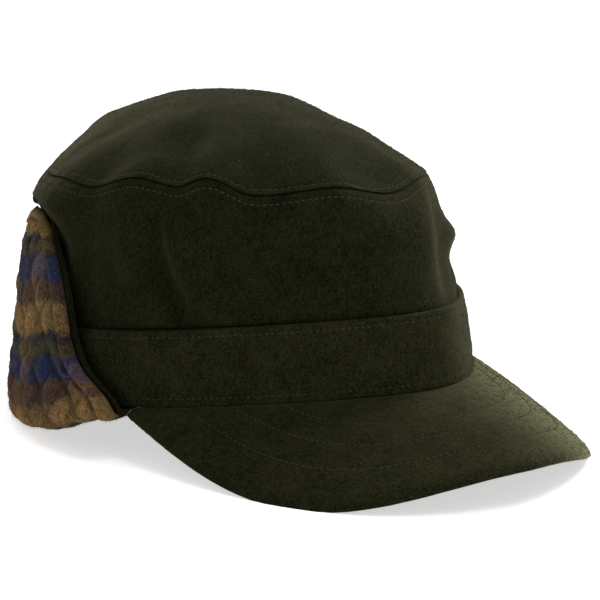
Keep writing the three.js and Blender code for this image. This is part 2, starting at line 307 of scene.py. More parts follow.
def cloth_noise(points, size, seed):
    """Smooth noise from -1 to 1 over points in space, with waves about as long as size."""
    scaled = np.asarray(points, float) / np.asarray(size, float)
    cell = np.floor(scaled)
    t = smooth(scaled - cell)
    total = np.zeros(scaled.shape[:-1])
    for corner in itertools.product((0, 1), repeat=3):
        at = cell + corner
        mixed = at[..., 0] * 127.1 + at[..., 1] * 311.7 + at[..., 2] * 74.7 + seed * 17.3
        value = np.modf(np.abs(np.sin(mixed)) * 43758.5453)[0] * 2 - 1
        weight = np.prod(np.where(corner, t, 1 - t), axis=-1)
        total += value * weight
    return total


def oval(shape, angle):
    """A place on an oval, with x and y apart."""
    a = np.radians(angle)
    ahead = smooth((1 + np.cos(a)) / 2)
    k = shape["pointed"] * (BACK_POINT + (1 - BACK_POINT) * ahead)
    across = (1 - k) * np.sin(a) - k * np.sin(3 * a)
    along = -((1 - k) * np.cos(a) + k * np.cos(3 * a))
    taper = 1 + shape["egg"] * along * (1 - TAPER_EASE * along)
    length = np.where(along < 0, shape["front"], shape["back"])
    return shape["half_width"] * across * taper, length * along


def outward(shape, angle):
    """The level direction straight out of an oval, with x and y apart."""
    ahead = oval(shape, angle + 1)
    behind = oval(shape, angle - 1)
    x, y = ahead[1] - behind[1], behind[0] - ahead[0]
    length = np.hypot(x, y)
    return x / length, y / length


def lean(x, y, rise):
    """Turns a place given square to the head opening into one above the table."""
    c, s = math.cos(LEAN), math.sin(LEAN)
    x, y, rise = np.broadcast_arrays(x, y, rise)
    return np.stack([x, y * c + rise * s, -y * s + rise * c + LIFT], axis=-1)


def at_hem(angle, out, rise):
    """A place near the hem, in the opening's own slant."""
    x, y = oval(OPENING, angle)
    nx, ny = outward(OPENING, angle)
    wave = OPENING["wave"] * np.cos(2 * np.radians(angle))
    return lean(x + nx * out, y + ny * out, rise + wave)


def at_seam(angle, out, rise):
    """A place near the tip's seam."""
    x, y = oval(SEAM, angle)
    nx, ny = outward(SEAM, angle)
    for at, reach, depth in SEAM_PULLS:
        out = out - depth * bump(wrap(angle - at), reach)
    x = x + nx * out + SEAM["aside"]
    y = y + ny * out + SEAM["behind"]
    z = stepped(SEAM_HEIGHTS, angle, 1) + rise
    x, y, z = np.broadcast_arrays(x, y, z)
    return np.stack([x, y, z], axis=-1)


def wrap(angle):
    """Keeps an angle between -180 and 180."""
    return (angle + 540) % 360 - 180


# The solids' origin is under the middle of the whole cap, this far behind the shapes' own middle.
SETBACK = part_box("band")[0].y * METRE - at_hem(np.array(0.0), 0, 0)[1]


def level_push(angle, distance):
    """A level step outwards from the head opening."""
    nx, ny = outward(OPENING, angle)
    nx, ny, distance = np.broadcast_arrays(nx, ny, distance)
    return np.stack([nx * distance, ny * distance, np.zeros_like(nx)], axis=-1)


def fold_depth(angle, share):
    """How far the side panel's folds and dents push it out or in."""
    depth = np.zeros(np.broadcast(angle, share).shape)
    fade = np.sin(np.pi * np.minimum(1, share * 1.05)) ** 0.7
    for low, middle, high, width, fold in CROWN_FOLDS:
        centre = low * (1 - share) ** 2 + middle * 2 * share * (1 - share) + high * share**2
        depth = depth + fold * fade * bump(wrap(angle - centre), width)
    for at, height, reach, share_reach, dent in CROWN_DENTS:
        depth = depth + dent * bump(wrap(angle - at), reach) * bump(share - height, share_reach)
    return depth


def crown_side_point(angle, share, inside=0.0):
    """A place on the side panel; share runs from the band's top (0) to the tip's seam (1)."""
    low = at_hem(angle, -BAND["lean"] - WOOL - SEWN_GAP - inside, BAND["height"])
    high = at_seam(angle, -inside, 0)
    flap = smooth(np.clip((np.abs(angle) - 88) / 18, 0, 1))
    front = flowing(CROWN_PROFILE, share, 1)
    back = flowing(CROWN_PROFILE, share, 2)
    slack = 1 - SLACK["share"] * bump(angle - SLACK["angle"], SLACK["width"])
    stand = front * slack * (1 - flap) + back * flap + fold_depth(angle, share)
    straight = low + (high - low) * share[..., None]
    below_seam = np.linalg.norm(high - low, axis=-1) * (1 - share)
    stand = stand + seam_roll(below_seam) + pucker(high, below_seam)
    stand = stand + ripple(straight, 11) * np.sin(np.pi * share) ** 0.5
    point = straight + level_push(angle, stand)
    return point - level_push(angle, under_flap(angle, point, inside))


def under_flap(angle, point, inside):
    """How far the folded flap presses the side panel back, up to the flap's top edge."""
    c, s = math.cos(LEAN), math.sin(LEAN)
    x, y, z = point[..., 0], point[..., 1], point[..., 2] - LIFT
    rise = z * c + y * s
    y = y * c - z * s
    at = angle
    for _ in range(3):
        middle_x, middle_y = oval(OPENING, at)
        nx, ny = outward(OPENING, at)
        ahead_x, ahead_y = oval(OPENING, at + 1)
        per_degree = np.hypot(ahead_x - middle_x, ahead_y - middle_y)
        at = at + ((y - middle_y) * nx - (x - middle_x) * ny) / per_degree
    out = (x - middle_x) * nx + (y - middle_y) * ny
    edge = flowing(FLAP_EDGE, rise, 1)
    from_back = 180 - np.abs(wrap(at))
    share = np.clip(from_back / (180 - edge), 0, 1)
    over = smooth(np.clip((rise - stepped(FLAP_TOP, share, 1) - 0.9) / 1.2, 0, 1))
    covered = smooth(np.clip((183 - edge - from_back) / 3, 0, 1))
    face = flowing(FLAP_SIDE, rise, 1) - flowing(FLAP_SIDE, rise, 2) - PLY_GAP - SHELL - 1 - inside
    return np.maximum(0, out - face) * covered * (1 - over)


def seam_roll(away):
    """The step of cloth beside a seam, with a dimple along its row of stitches."""
    return 0.08 * bump(away - 1.6, 0.7) - 0.2 * bump(away - STITCH_INSET, 0.5)


def pucker(seam, away):
    """Small gathers that run off a seam and fade away from it."""
    broad = 0.5 * cloth_noise(seam, 6.5, 3) * bump(away, 7)
    narrow = 0.2 * cloth_noise(seam, 2.6, 5) * bump(away, 3)
    return (broad + narrow) * smooth(np.minimum(1, away / 2))


def ripple(points, seed):
    """The soft unevenness of felted cloth."""
    broad = cloth_noise(points, (24, 24, 44), seed)
    fine = cloth_noise(points, (10, 10, 15), seed + 1)
    return 0.65 * broad + 0.22 * fine


def tip_point(angle, share, inside=0.0):
    """A place on the tip panel; share runs from its rim (0) to its middle (1)."""
    rim = at_seam(angle, -inside * (1 - share), SEWN_GAP)
    x = rim[..., 0] * (1 - share) + TIP["x"] * share
    y = rim[..., 1] * (1 - share) + TIP["y"] * share
    turn = np.radians(angle - TIP["full_side"])
    fullness = TIP["fullness"] + TIP["lopsided"] * np.cos(turn)
    rise = 1 - (1 - share) ** fullness
    wave = (rim[..., 2] - TIP["rim_height"]) * (1 - share) ** 3
    z = TIP["rim_height"] + wave + (TIP["height"] - TIP["rim_height"]) * rise
    for hollow_x, hollow_y, reach, depth in TIP_HOLLOWS:
        away = np.hypot(x - hollow_x, y - hollow_y)
        z = z - depth * np.minimum(1, share * 5) * bump(away, reach)
    z = z - inside * np.minimum(1, share * 8)
    above_seam = share * np.hypot(rim[..., 0] - TIP["x"], rim[..., 1] - TIP["y"]) * 1.2
    z = z + seam_roll(above_seam) + pucker(rim, above_seam) * 0.7
    points = np.stack([x, y, z], axis=-1)
    points[..., 2] += ripple(points, 23) * np.minimum(1, above_seam / 12)
    return points


def band_point(angle, rise, inside=0.0):
    """A place on the band; rise runs from the hem (0) to its top edge."""
    share = np.clip(rise / BAND["height"], 0, 1)
    out = -BAND["lean"] * share + BAND["swell"] * np.sin(np.pi * share) - inside
    place = at_hem(angle, out, rise)
    dimple = bump(rise - STITCH_INSET, 0.6) + bump(BAND["height"] - rise - STITCH_INSET, 0.6)
    gather = 0.12 * cloth_noise(place, 3.2, 7) * (dimple + 0.3)
    wave = 0.3 * cloth_noise(place, (26, 26, 18), 9) * np.sin(np.pi * share)
    push = np.where(inside == 0, gather + wave - 0.3 * dimple, 0)
    return place + level_push(angle, push)


def peak_edge(turn):
    """The peak's free edge, from the wearer's right (-1) to the left (1)."""
    s = turn * np.pi / 2
    start_x, start_y = oval(OPENING, np.array(float(PEAK["edge_end"])))
    ahead = np.abs(np.cos(s)) ** (2 / PEAK_SHAPE["along"])
    aside = np.sign(s) * np.abs(np.sin(s)) ** (2 / PEAK_SHAPE["across"])
    x = aside * (start_x * (1 - ahead) + PEAK["corner"] * ahead)
    y = start_y + (-PEAK["front"] - start_y) * ahead
    arch = (PEAK_SHAPE["corner_drop"] - PEAK_SHAPE["middle_drop"]) * (1 - (x / PEAK["corner"]) ** 2)
    return lean(x, y, (arch - PEAK_SHAPE["corner_drop"]) * ahead)


def along_curve(points):
    """How far along a line of points each one lies."""
    steps = np.linalg.norm(np.diff(points, axis=0), axis=1)
    return np.concatenate([[0], np.cumsum(steps)])


def evenly(points, count, left_out=0.0):
    """Points at even spacing along a line, leaving out a little at both ends."""
    lengths = along_curve(points)
    wanted = np.linspace(left_out, lengths[-1] - left_out, count)
    return np.stack([np.interp(wanted, lengths, points[:, k]) for k in range(3)], axis=1)


def curve_through(points, lengths, wanted):
    """A flowing curve through the rows of points, read at the wanted lengths."""
    slopes = np.gradient(points, lengths, axis=1)
    i = np.clip(np.searchsorted(lengths, wanted) - 1, 0, len(lengths) - 2)
    step = (lengths[i + 1] - lengths[i])[None, :, None]
    t = ((wanted - lengths[i]) / (lengths[i + 1] - lengths[i]))[None, :, None]
    start = (1 + 2 * t) * (1 - t) ** 2 * points[:, i] + t * (1 - t) ** 2 * step * slopes[:, i]
    end = t * t * (3 - 2 * t) * points[:, i + 1] - t * t * (1 - t) * step * slopes[:, i + 1]
    return start + end


def flap_angle(share, rise, border):
    """Share runs from the wearer's left edge (-1) over the back (0) to the right edge (1)."""
    edge = flowing(FLAP_EDGE, rise, 1) + border
    setback = np.where(share < 0, LEFT_SETBACK, 0) * smooth(np.minimum(1, np.abs(share) * 1.5))
    return wrap(180 + (180 - edge - setback) * share)


def flap_foot(share, border, out, depth):
    """A place on the fold at the flap's foot."""
    angle = flap_angle(share, np.zeros_like(share), border)
    hem = at_hem(angle, 0, 0)[..., 2]
    drop = np.minimum(stepped(FLAP_DROP, np.abs(angle), 1), hem)
    point = at_hem(angle, out, 0)
    point[..., 2] = np.maximum(hem - depth * drop / FULL_DROP, 0)
    return point


def flap_side(share, border, part, short, inward):
    """A place on the flap's upright part."""
    corner = 1 - np.sqrt(1 - np.clip((np.abs(share) - CORNER_START) / (1 - CORNER_START), 0, 1) ** 2)
    rise = (stepped(FLAP_TOP, np.abs(share), 1) - CORNER_DROP * corner - short) * part
    angle = flap_angle(share, rise, border)
    out = flowing(FLAP_SIDE, rise, 1)
    pad = flowing(FLAP_SIDE, rise, 2)
    return at_hem(angle, out - inward(pad), rise)


def flap_path(share, border, foot, side, short, inward, top):
    """The flap's section from its seam at the hem, round the fold and up to its top edge."""
    points = [flap_foot(share, border, out, depth) for out, depth in foot]
    points += [flap_side(share, border, part, short, inward) for part in side]
    points.append(flap_side(share, border, 1, short, lambda pad: inward(pad) + top))
    return np.stack(points, axis=1)


def flap_ply(columns, rows, border, foot, short, near, far, top):
    """Middle and half thickness of one ply of the flap, as grids of places and of steps outwards."""
    share = np.linspace(-1, 1, columns)
    near_foot = [(row[0], row[1]) for row in foot]
    far_foot = [(row[2], row[3]) for row in foot]
    near_path = flap_path(share, border, near_foot, FLAP_PARTS, short, near, -top)
    far_path = flap_path(share, border, far_foot, FLAP_PARTS, short, far, top)
    middle, half = (near_path + far_path) / 2, (far_path - near_path) / 2
    back = middle[columns // 2]
    lengths = along_curve(back)
    wanted = np.linspace(0, lengths[-1], rows)
    return curve_through(middle, lengths, wanted), curve_through(half, lengths, wanted)


def grid_lengths(grid, axis):
    """How far along its rows or columns each place of a grid lies."""
    steps = np.linalg.norm(np.diff(grid, axis=axis), axis=-1)
    start = np.zeros_like(np.take(steps, [0], axis=axis))
    return np.concatenate([start, np.cumsum(steps, axis=axis)], axis=axis)


def border_distance(grid):
    """How far each place of a flap's grid is from its front edges and top edge."""
    across = grid_lengths(grid, 0)
    up = grid_lengths(grid, 1)
    from_front = np.minimum(across, across[-1:] - across)
    from_top = up[:, -1:] - up
    nearest = np.minimum(from_front, from_top)
    blend = np.maximum(0, 6 - np.abs(from_front - from_top)) / 6
    return np.maximum(0, nearest - blend * blend)


def round_over(away, radius):
    """A rounded edge: 0 at the edge and 1 from the radius on."""
    return np.sqrt(1 - (1 - np.clip(away / radius, 0, 1)) ** 2)


def outwards_of(half):
    """Directions straight out of the flap's face."""
    return half / np.maximum(np.linalg.norm(half, axis=-1, keepdims=True), 1e-6)


def on_table(points):
    """Keeps cloth from reaching below the table."""
    points[..., 2] = np.maximum(points[..., 2], 0)
    return points


def quilt(along, up, width, height):
    """How full the quilting is: 0 on its sewn lines and 1 in the middle of each diamond."""
    rising = along / width + up / height
    falling = along / width - up / height
    return np.abs(np.sin(np.pi * rising)) * np.abs(np.sin(np.pi * falling))


def wrapped_faces(rows, columns, closed_rows):
    """Faces of a grid whose columns close on themselves, and its rows too where asked."""
    r = np.arange(rows if closed_rows else rows - 1)[:, None]
    c = np.arange(columns)[None, :]
    a = r * columns + c
    b = r * columns + (c + 1) % columns
    d = (r + 1) % rows * columns + c
    e = (r + 1) % rows * columns + (c + 1) % columns
    return np.stack([a, b, e, d], axis=-1).reshape(-1, 4).tolist()


def sheet_faces(index):
    """Faces of an open grid of vertex numbers."""
    corners = [index[:-1, :-1], index[1:, :-1], index[1:, 1:], index[:-1, 1:]]
    return np.stack(corners, axis=-1).reshape(-1, 4).tolist()


def swept_volume(points, faces):
    """The room inside a closed mesh, negative where its faces point inwards."""
    total = 0.0
    for size in (3, 4):
        corners = np.array([f for f in faces if len(f) == size], int)
        if len(corners):
            p = points[corners]
            for k in range(1, size - 1):
                total += np.einsum("ij,ij->i", p[:, 0], np.cross(p[:, k], p[:, k + 1])).sum()
    return total


def make_mesh(name, points, faces):
    """A smooth mesh object from places in millimetres, with its faces pointing out."""
    points = np.asarray(points, float).reshape(-1, 3)
    if swept_volume(points, faces) < 0:
        faces = [face[::-1] for face in faces]
    placed = (points + (0, SETBACK, 0)) / METRE
    mesh = bpy.data.meshes.new(name)
    mesh.from_pydata(placed.tolist(), [], faces)
    mesh.polygons.foreach_set("use_smooth", [True] * len(faces))
    mesh.update()
    piece = bpy.data.objects.new(name, mesh)
    bpy.context.scene.collection.objects.link(piece)
    return piece


def pillow(name, outer, inner):
    """A closed piece from two grids that share their borders."""
    columns, rows = outer.shape[:2]
    front = np.arange(columns * rows).reshape(columns, rows)
    back = front.copy()
    inside = (slice(1, -1), slice(1, -1))
    back[inside] = columns * rows + np.arange((columns - 2) * (rows - 2)).reshape(columns - 2, rows - 2)
    points = np.concatenate([outer.reshape(-1, 3), inner[inside].reshape(-1, 3)])
    faces = sheet_faces(front) + [face[::-1] for face in sheet_faces(back)]
    return make_mesh(name, points, faces), back


def finish_piece(piece, material, slot, *nodes):
    """Gives a piece its material and ties it to the frame."""
    piece.data.materials.clear()
    piece.data.materials.append(material)
    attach(piece, "root")
    if nodes:
        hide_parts(*nodes)
    return piece


def new_group(name, inputs, outputs):
    """An empty shader node group with named sockets."""
    group = bpy.data.node_groups.new(name, "ShaderNodeTree")
    for label, kind, value in inputs:
        socket = group.interface.new_socket(label, in_out="INPUT", socket_type=kind)
        if value is not None:
            socket.default_value = value
    for label, kind in outputs:
        group.interface.new_socket(label, in_out="OUTPUT", socket_type=kind)
    return group, group.nodes.new("NodeGroupInput"), group.nodes.new("NodeGroupOutput")


def add_node(tree, kind, values=None, **settings):
    """A node with its settings and with values or links for its inputs."""
    node = tree.nodes.new(kind)
    for key, value in settings.items():
        setattr(node, key, value)
    for key, value in (values or {}).items():
        if isinstance(value, bpy.types.NodeSocket):
            tree.links.new(value, node.inputs[key])
        else:
            node.inputs[key].default_value = value
    return node


def do_math(tree, operation, *values, clamp=False):
    """The result of one Math node."""
    inputs = dict(enumerate(values))
    node = add_node(tree, "ShaderNodeMath", inputs, operation=operation, use_clamp=clamp)
    return node.outputs[0]


def mix_colours(tree, factor, first, second, blend="MIX"):
    """The result of one colour Mix node."""
    values = {0: factor, 6: first, 7: second}
    return add_node(tree, "ShaderNodeMix", values, data_type="RGBA", blend_type=blend).outputs[2]


def noise_value(tree, vector, scale, detail=2.0, roughness=0.5):
    """The grey value of a noise over a vector."""
    values = {"Vector": vector, "Scale": scale, "Detail": detail, "Roughness": roughness}
    return add_node(tree, "ShaderNodeTexNoise", values).outputs[0]


def nap_group():
    """Felted nap: light and dark tufts, brushed streaks, broad patches, fibre ends and relief."""
    found = bpy.data.node_groups.get("brushed_nap")
    if found:
        return found
    inputs = [
        ("Place", "NodeSocketVector", None),
        ("Streaked Place", "NodeSocketVector", None),
        ("Tuft Size", "NodeSocketFloat", 1.0),
    ]
    outputs = [(name, "NodeSocketFloat") for name in ("Shade", "Fibre Ends", "Relief")]
    group, source, result = new_group("brushed_nap", inputs, outputs)
    place, streaked, size = source.outputs[:3]
    fineness = do_math(group, "DIVIDE", 1.0, size)
    tufts = noise_value(group, place, fineness, 3.0, 0.7)
    hairs = noise_value(group, streaked, do_math(group, "MULTIPLY", fineness, 1.9), 2.0, 0.6)
    streaks = noise_value(group, streaked, do_math(group, "MULTIPLY", fineness, 0.45), 2.0, 0.55)
    patches = noise_value(group, place, do_math(group, "MULTIPLY", fineness, 0.06), 2.0, 0.5)
    shade = do_math(group, "MULTIPLY", tufts, 3.4)
    shade = do_math(group, "MULTIPLY_ADD", hairs, 3.2, shade)
    shade = do_math(group, "MULTIPLY_ADD", streaks, 1.4, shade)
    shade = do_math(group, "MULTIPLY_ADD", patches, 1.0, shade)
    shade = do_math(group, "MAXIMUM", do_math(group, "SUBTRACT", shade, 3.5), 0.15)
    group.links.new(shade, result.inputs["Shade"])
    ends = noise_value(group, place, do_math(group, "MULTIPLY", fineness, 1.4), 1.0, 0.4)
    raised = add_node(group, "ShaderNodeMapRange", {"Value": ends, "From Min": 0.74, "From Max": 0.82})
    group.links.new(raised.outputs[0], result.inputs["Fibre Ends"])
    relief = do_math(group, "MULTIPLY_ADD", tufts, 1.0, do_math(group, "MULTIPLY", hairs, 0.6))
    relief = do_math(group, "MULTIPLY_ADD", streaks, 0.8, relief)
    group.links.new(relief, result.inputs["Relief"])
    return group


def stripes_group():
    """One run of plaid stripes: which colour lies at a place along the cloth."""
    found = bpy.data.node_groups.get("stripe_run")
    if found:
        return found
    colours = ["Rust", "Ochre", "Slate", "Olive", "Navy"]
    inputs = [("Distance", "NodeSocketFloat", 0.0), ("Repeat", "NodeSocketFloat", 43.0)]
    inputs += [(name, "NodeSocketColor", None) for name in colours]
    group, source, result = new_group("stripe_run", inputs, [("Colour", "NodeSocketColor")])
    distance, repeat = source.outputs[:2]
    share = do_math(group, "FRACT", do_math(group, "DIVIDE", distance, repeat))
    starts = [("Ochre", 0.19), ("Slate", 0.47), ("Olive", 0.58), ("Navy", 0.7), ("Rust", 0.97)]
    colour = source.outputs["Rust"]
    for name, start in starts:
        values = {"Value": share, "From Min": start - 0.03, "From Max": start + 0.03}
        edge = add_node(group, "ShaderNodeMapRange", values, interpolation_type="SMOOTHSTEP")
        colour = mix_colours(group, edge.outputs[0], colour, source.outputs[name])
    group.links.new(colour, result.inputs["Colour"])
    return group


def place_group(tree, group, values):
    """Places a node group and fills its inputs."""
    return add_node(tree, "ShaderNodeGroup", values, node_tree=group)


def new_material(name):
    """An empty material with its shader and output."""
    material = bpy.data.materials.new(name)
    material.use_nodes = True
    tree = material.node_tree
    tree.nodes.clear()
    output = tree.nodes.new("ShaderNodeOutputMaterial")
    shader = tree.nodes.new("ShaderNodeBsdfPrincipled")
    tree.links.new(shader.outputs[0], output.inputs["Surface"])
    return material, tree, shader


def place_in_mm(tree, stretch=(1.0, 1.0, 1.0), turn=(0.0, 0.0, 0.0)):
    """Object coordinates in millimetres, turned and stretched."""
    coordinates = tree.nodes.new("ShaderNodeTexCoord")
    scale = [METRE * s for s in stretch]
    values = {"Vector": coordinates.outputs["Object"], "Scale": scale, "Rotation": turn}
    return add_node(tree, "ShaderNodeMapping", values, vector_type="POINT").outputs[0]


def shade_by(tree, colour, shade):
    """A colour times a grey value."""
    grey = add_node(tree, "ShaderNodeCombineColor", {0: shade, 1: shade, 2: shade}).outputs[0]
    return mix_colours(tree, 1.0, colour, grey, "MULTIPLY")


def wool_material(name):
    """Dark olive felted wool, brushed one way, as the table of wools gives it, with the piece's painted
    light and shade.
    """
    found = bpy.data.materials.get(name)
    if found:
        return found
    looks = bpy.context.scene.cap_wool
    material, tree, shader = new_material(name)
    place = place_in_mm(tree)
    stretch, turn, painted_light_share, sheen = WOOLS[name]
    streaked = place_in_mm(tree, stretch, (0.0, 0.0, math.radians(turn)))
    values = {"Place": place, "Streaked Place": streaked, "Tuft Size": looks.tuft_size * METRE}
    nap = place_group(tree, nap_group(), values)
    # Painted light and shade: the base colour is made lighter or darker by the piece's share.
    base = tuple(painted_light_share * c for c in looks.colour)
    colour = shade_by(tree, (*base, 1), nap.outputs["Shade"])
    ends = do_math(tree, "MULTIPLY", nap.outputs["Fibre Ends"], looks.fibre_ends)
    colour = mix_colours(tree, ends, colour, (*looks.fibre_colour, 1))
    tree.links.new(colour, shader.inputs["Base Color"])
    values = {"Height": nap.outputs["Relief"], "Distance": looks.relief, "Strength": 0.75}
    relief = add_node(tree, "ShaderNodeBump", values)
    tree.links.new(relief.outputs[0], shader.inputs["Normal"])
    shader.inputs["Roughness"].default_value = 0.92
    shader.inputs["Specular IOR Level"].default_value = 0.04
    shader.inputs["Specular Tint"].default_value = (1, 0.97, 0.6, 1)
    shader.inputs["Sheen Weight"].default_value = looks.sheen * sheen
    shader.inputs["Sheen Roughness"].default_value = 0.28
    shader.inputs["Sheen Tint"].default_value = (1, 0.95, 0.52, 1)
    return material


def thread_material(name, colour):
    """Dull sewing thread with a faint twist."""
    found = bpy.data.materials.get(name)
    if found:
        return found
    material, tree, shader = new_material(name)
    place = place_in_mm(tree)
    twist = noise_value(tree, place, 3.0, 2.0)
    shade = add_node(tree, "ShaderNodeMapRange", {"Value": twist, "To Min": 0.65, "To Max": 1.35}).outputs[0]
    tree.links.new(shade_by(tree, (*colour, 1), shade), shader.inputs["Base Color"])
    shader.inputs["Roughness"].default_value = 0.8
    shader.inputs["Specular IOR Level"].default_value = 0.12
    return material


def flannel_material():
    """Brushed plaid flannel, whose check follows the cloth's own map, with painted shade along its sewn
    creases.
    """
    found = bpy.data.materials.get("brushed_flannel")
    if found:
        return found
    looks = bpy.context.scene.cap_plaid
    material, tree, shader = new_material("brushed_flannel")
    place = place_in_mm(tree)
    cloth = add_node(tree, "ShaderNodeAttribute", attribute_name="cloth").outputs["Vector"]
    values = {"Vector": place, "Scale": 0.35, "Detail": 4.0, "Roughness": 0.75}
    fray = add_node(tree, "ShaderNodeTexNoise", values)
    values = {0: fray.outputs["Color"], 1: (0.5, 0.5, 0.5)}
    centred = add_node(tree, "ShaderNodeVectorMath", values, operation="SUBTRACT")
    values = {0: centred.outputs[0], 1: (looks.fray, looks.fray, 0)}
    drift = add_node(tree, "ShaderNodeVectorMath", values, operation="MULTIPLY")
    moved = add_node(tree, "ShaderNodeVectorMath", {0: cloth, 1: drift.outputs[0]}).outputs[0]
    split = add_node(tree, "ShaderNodeSeparateXYZ", {0: moved})
    across = do_math(tree, "MULTIPLY", split.outputs[0], METRE)
    up = do_math(tree, "MULTIPLY", split.outputs[1], METRE)
    colours = {
        "Rust": (*looks.rust, 1),
        "Ochre": (*looks.ochre, 1),
        "Slate": (*looks.slate, 1),
        "Olive": (*looks.olive, 1),
        "Navy": (*looks.navy, 1),
    }
    repeat = looks.repeat * METRE
    weft_start = do_math(tree, "SUBTRACT", looks.weft_start * METRE, up)
    warp_start = do_math(tree, "ADD", across, looks.warp_start * METRE)
    weft = place_group(tree, stripes_group(), {"Distance": weft_start, "Repeat": repeat, **colours})
    dark = {"Rust": (*looks.rust, 1), "Slate": (*looks.olive, 1), "Navy": (*looks.slate, 1)}
    warp_colours = {**colours, **dark}
    warp = place_group(tree, stripes_group(), {"Distance": warp_start, "Repeat": repeat, **warp_colours})
    diagonal = do_math(tree, "MULTIPLY", do_math(tree, "ADD", across, up), 2 * math.pi / 0.9)
    twill = do_math(tree, "MULTIPLY_ADD", do_math(tree, "SINE", diagonal), 0.07, looks.warp_share)
    colour = mix_colours(tree, twill, weft.outputs[0], warp.outputs[0])
    streaked = place_in_mm(tree, (1.0, 1.0, 0.5))
    nap_values = {"Place": place, "Streaked Place": streaked, "Tuft Size": 1.1}
    nap = place_group(tree, nap_group(), nap_values)
    shade = add_node(
        tree,
        "ShaderNodeMapRange",
        {"Value": nap.outputs["Shade"], "From Max": 2.0, "To Min": 0.35, "To Max": 1.65},
    )
    colour = shade_by(tree, colour, shade.outputs[0])
    crease = add_node(tree, "ShaderNodeAttribute", attribute_name="crease").outputs["Fac"]
    patchy = noise_value(tree, place, 0.16, 2.0)
    patchy = add_node(tree, "ShaderNodeMapRange", {"Value": patchy, "From Min": 0.4, "From Max": 0.65})
    pale = do_math(tree, "MULTIPLY", crease, do_math(tree, "MULTIPLY", patchy.outputs[0], 0.25))
    # Painted shade: the colour is darkened along the sewn creases, where the quilting sinks.
    sunk = do_math(tree, "MULTIPLY_ADD", crease, -0.72, 1.0)
    colour = mix_colours(tree, pale, shade_by(tree, colour, sunk), (0.2, 0.17, 0.13, 1))
    ends = do_math(tree, "MULTIPLY", nap.outputs["Fibre Ends"], 0.15)
    colour = mix_colours(tree, ends, colour, (0.25, 0.22, 0.18, 1))
    tree.links.new(colour, shader.inputs["Base Color"])
    relief_values = {"Height": nap.outputs["Relief"], "Distance": 0.0005, "Strength": 0.8}
    relief = add_node(tree, "ShaderNodeBump", relief_values)
    tree.links.new(relief.outputs[0], shader.inputs["Normal"])
    shader.inputs["Roughness"].default_value = 0.95
    shader.inputs["Specular IOR Level"].default_value = 0.04
    shader.inputs["Sheen Weight"].default_value = 0.06
    shader.inputs["Sheen Roughness"].default_value = 0.5
    shader.inputs["Sheen Tint"].default_value = (0.9, 0.75, 0.6, 1)
    return material


def new_nodes(name, inputs, output):
    """An empty geometry node tree with named sockets, whose first input is geometry."""
    tree = bpy.data.node_groups.new(name, "GeometryNodeTree")
    for label, kind in inputs:
        tree.interface.new_socket(label, in_out="INPUT", socket_type="NodeSocket" + kind)
    tree.interface.new_socket(output, in_out="OUTPUT", socket_type="NodeSocketGeometry")
    return tree, tree.nodes.new("NodeGroupInput"), tree.nodes.new("NodeGroupOutput")


def end_tree(tree, laid, material, result):
    """Makes the laid copies real, gives them their material and puts them out."""
    solid = add_node(tree, "GeometryNodeRealizeInstances", {"Geometry": laid.outputs[0]})
    values = {"Geometry": solid.outputs[0], "Material": material}
    finished = add_node(tree, "GeometryNodeSetMaterial", values)
    tree.links.new(finished.outputs[0], result.inputs[0])


def stitch_tree():
    """Geometry nodes that lay one stitch after another along the edges of a line mesh."""
    found = bpy.data.node_groups.get("stitch_row")
    if found:
        return found
    inputs = [
        ("Line", "Geometry"),
        ("Stitch Length", "Float"),
        ("Pitch", "Float"),
        ("Thread Width", "Float"),
        ("Seed", "Int"),
        ("Thread", "Material"),
    ]
    tree, source, result = new_nodes("stitch_row", inputs, "Stitches")
    line = add_node(tree, "GeometryNodeMeshToCurve", {"Mesh": source.outputs["Line"]})
    values = {"Curve": line.outputs[0], "Length": source.outputs["Pitch"]}
    spaced = add_node(tree, "GeometryNodeResampleCurve", values, mode="LENGTH")
    bead = add_node(tree, "GeometryNodeMeshUVSphere", {"Segments": 6, "Rings": 5, "Radius": 0.5})
    size = add_node(tree, "ShaderNodeCombineXYZ", {0: source.outputs["Stitch Length"]})
    tree.links.new(source.outputs["Thread Width"], size.inputs[1])
    tree.links.new(source.outputs["Thread Width"], size.inputs[2])
    stitch = add_node(tree, "GeometryNodeTransform", {"Geometry": bead.outputs[0], "Scale": size.outputs[0]})
    tangent = tree.nodes.new("GeometryNodeInputTangent")
    turn = add_node(tree, "FunctionNodeAlignRotationToVector", {"Vector": tangent.outputs[0]}, axis="X")
    vary = add_node(tree, "FunctionNodeRandomValue", data_type="FLOAT_VECTOR")
    vary.inputs[0].default_value = (0.85, 0.85, 0.85)
    vary.inputs[1].default_value = (1.1, 1.15, 1.15)
    tree.links.new(source.outputs["Seed"], vary.inputs["Seed"])
    laid = add_node(
        tree,
        "GeometryNodeInstanceOnPoints",
        {
            "Points": spaced.outputs[0],
            "Instance": stitch.outputs[0],
            "Rotation": turn.outputs[0],
            "Scale": vary.outputs[0],
        },
    )
    end_tree(tree, laid, source.outputs["Thread"], result)
    return tree


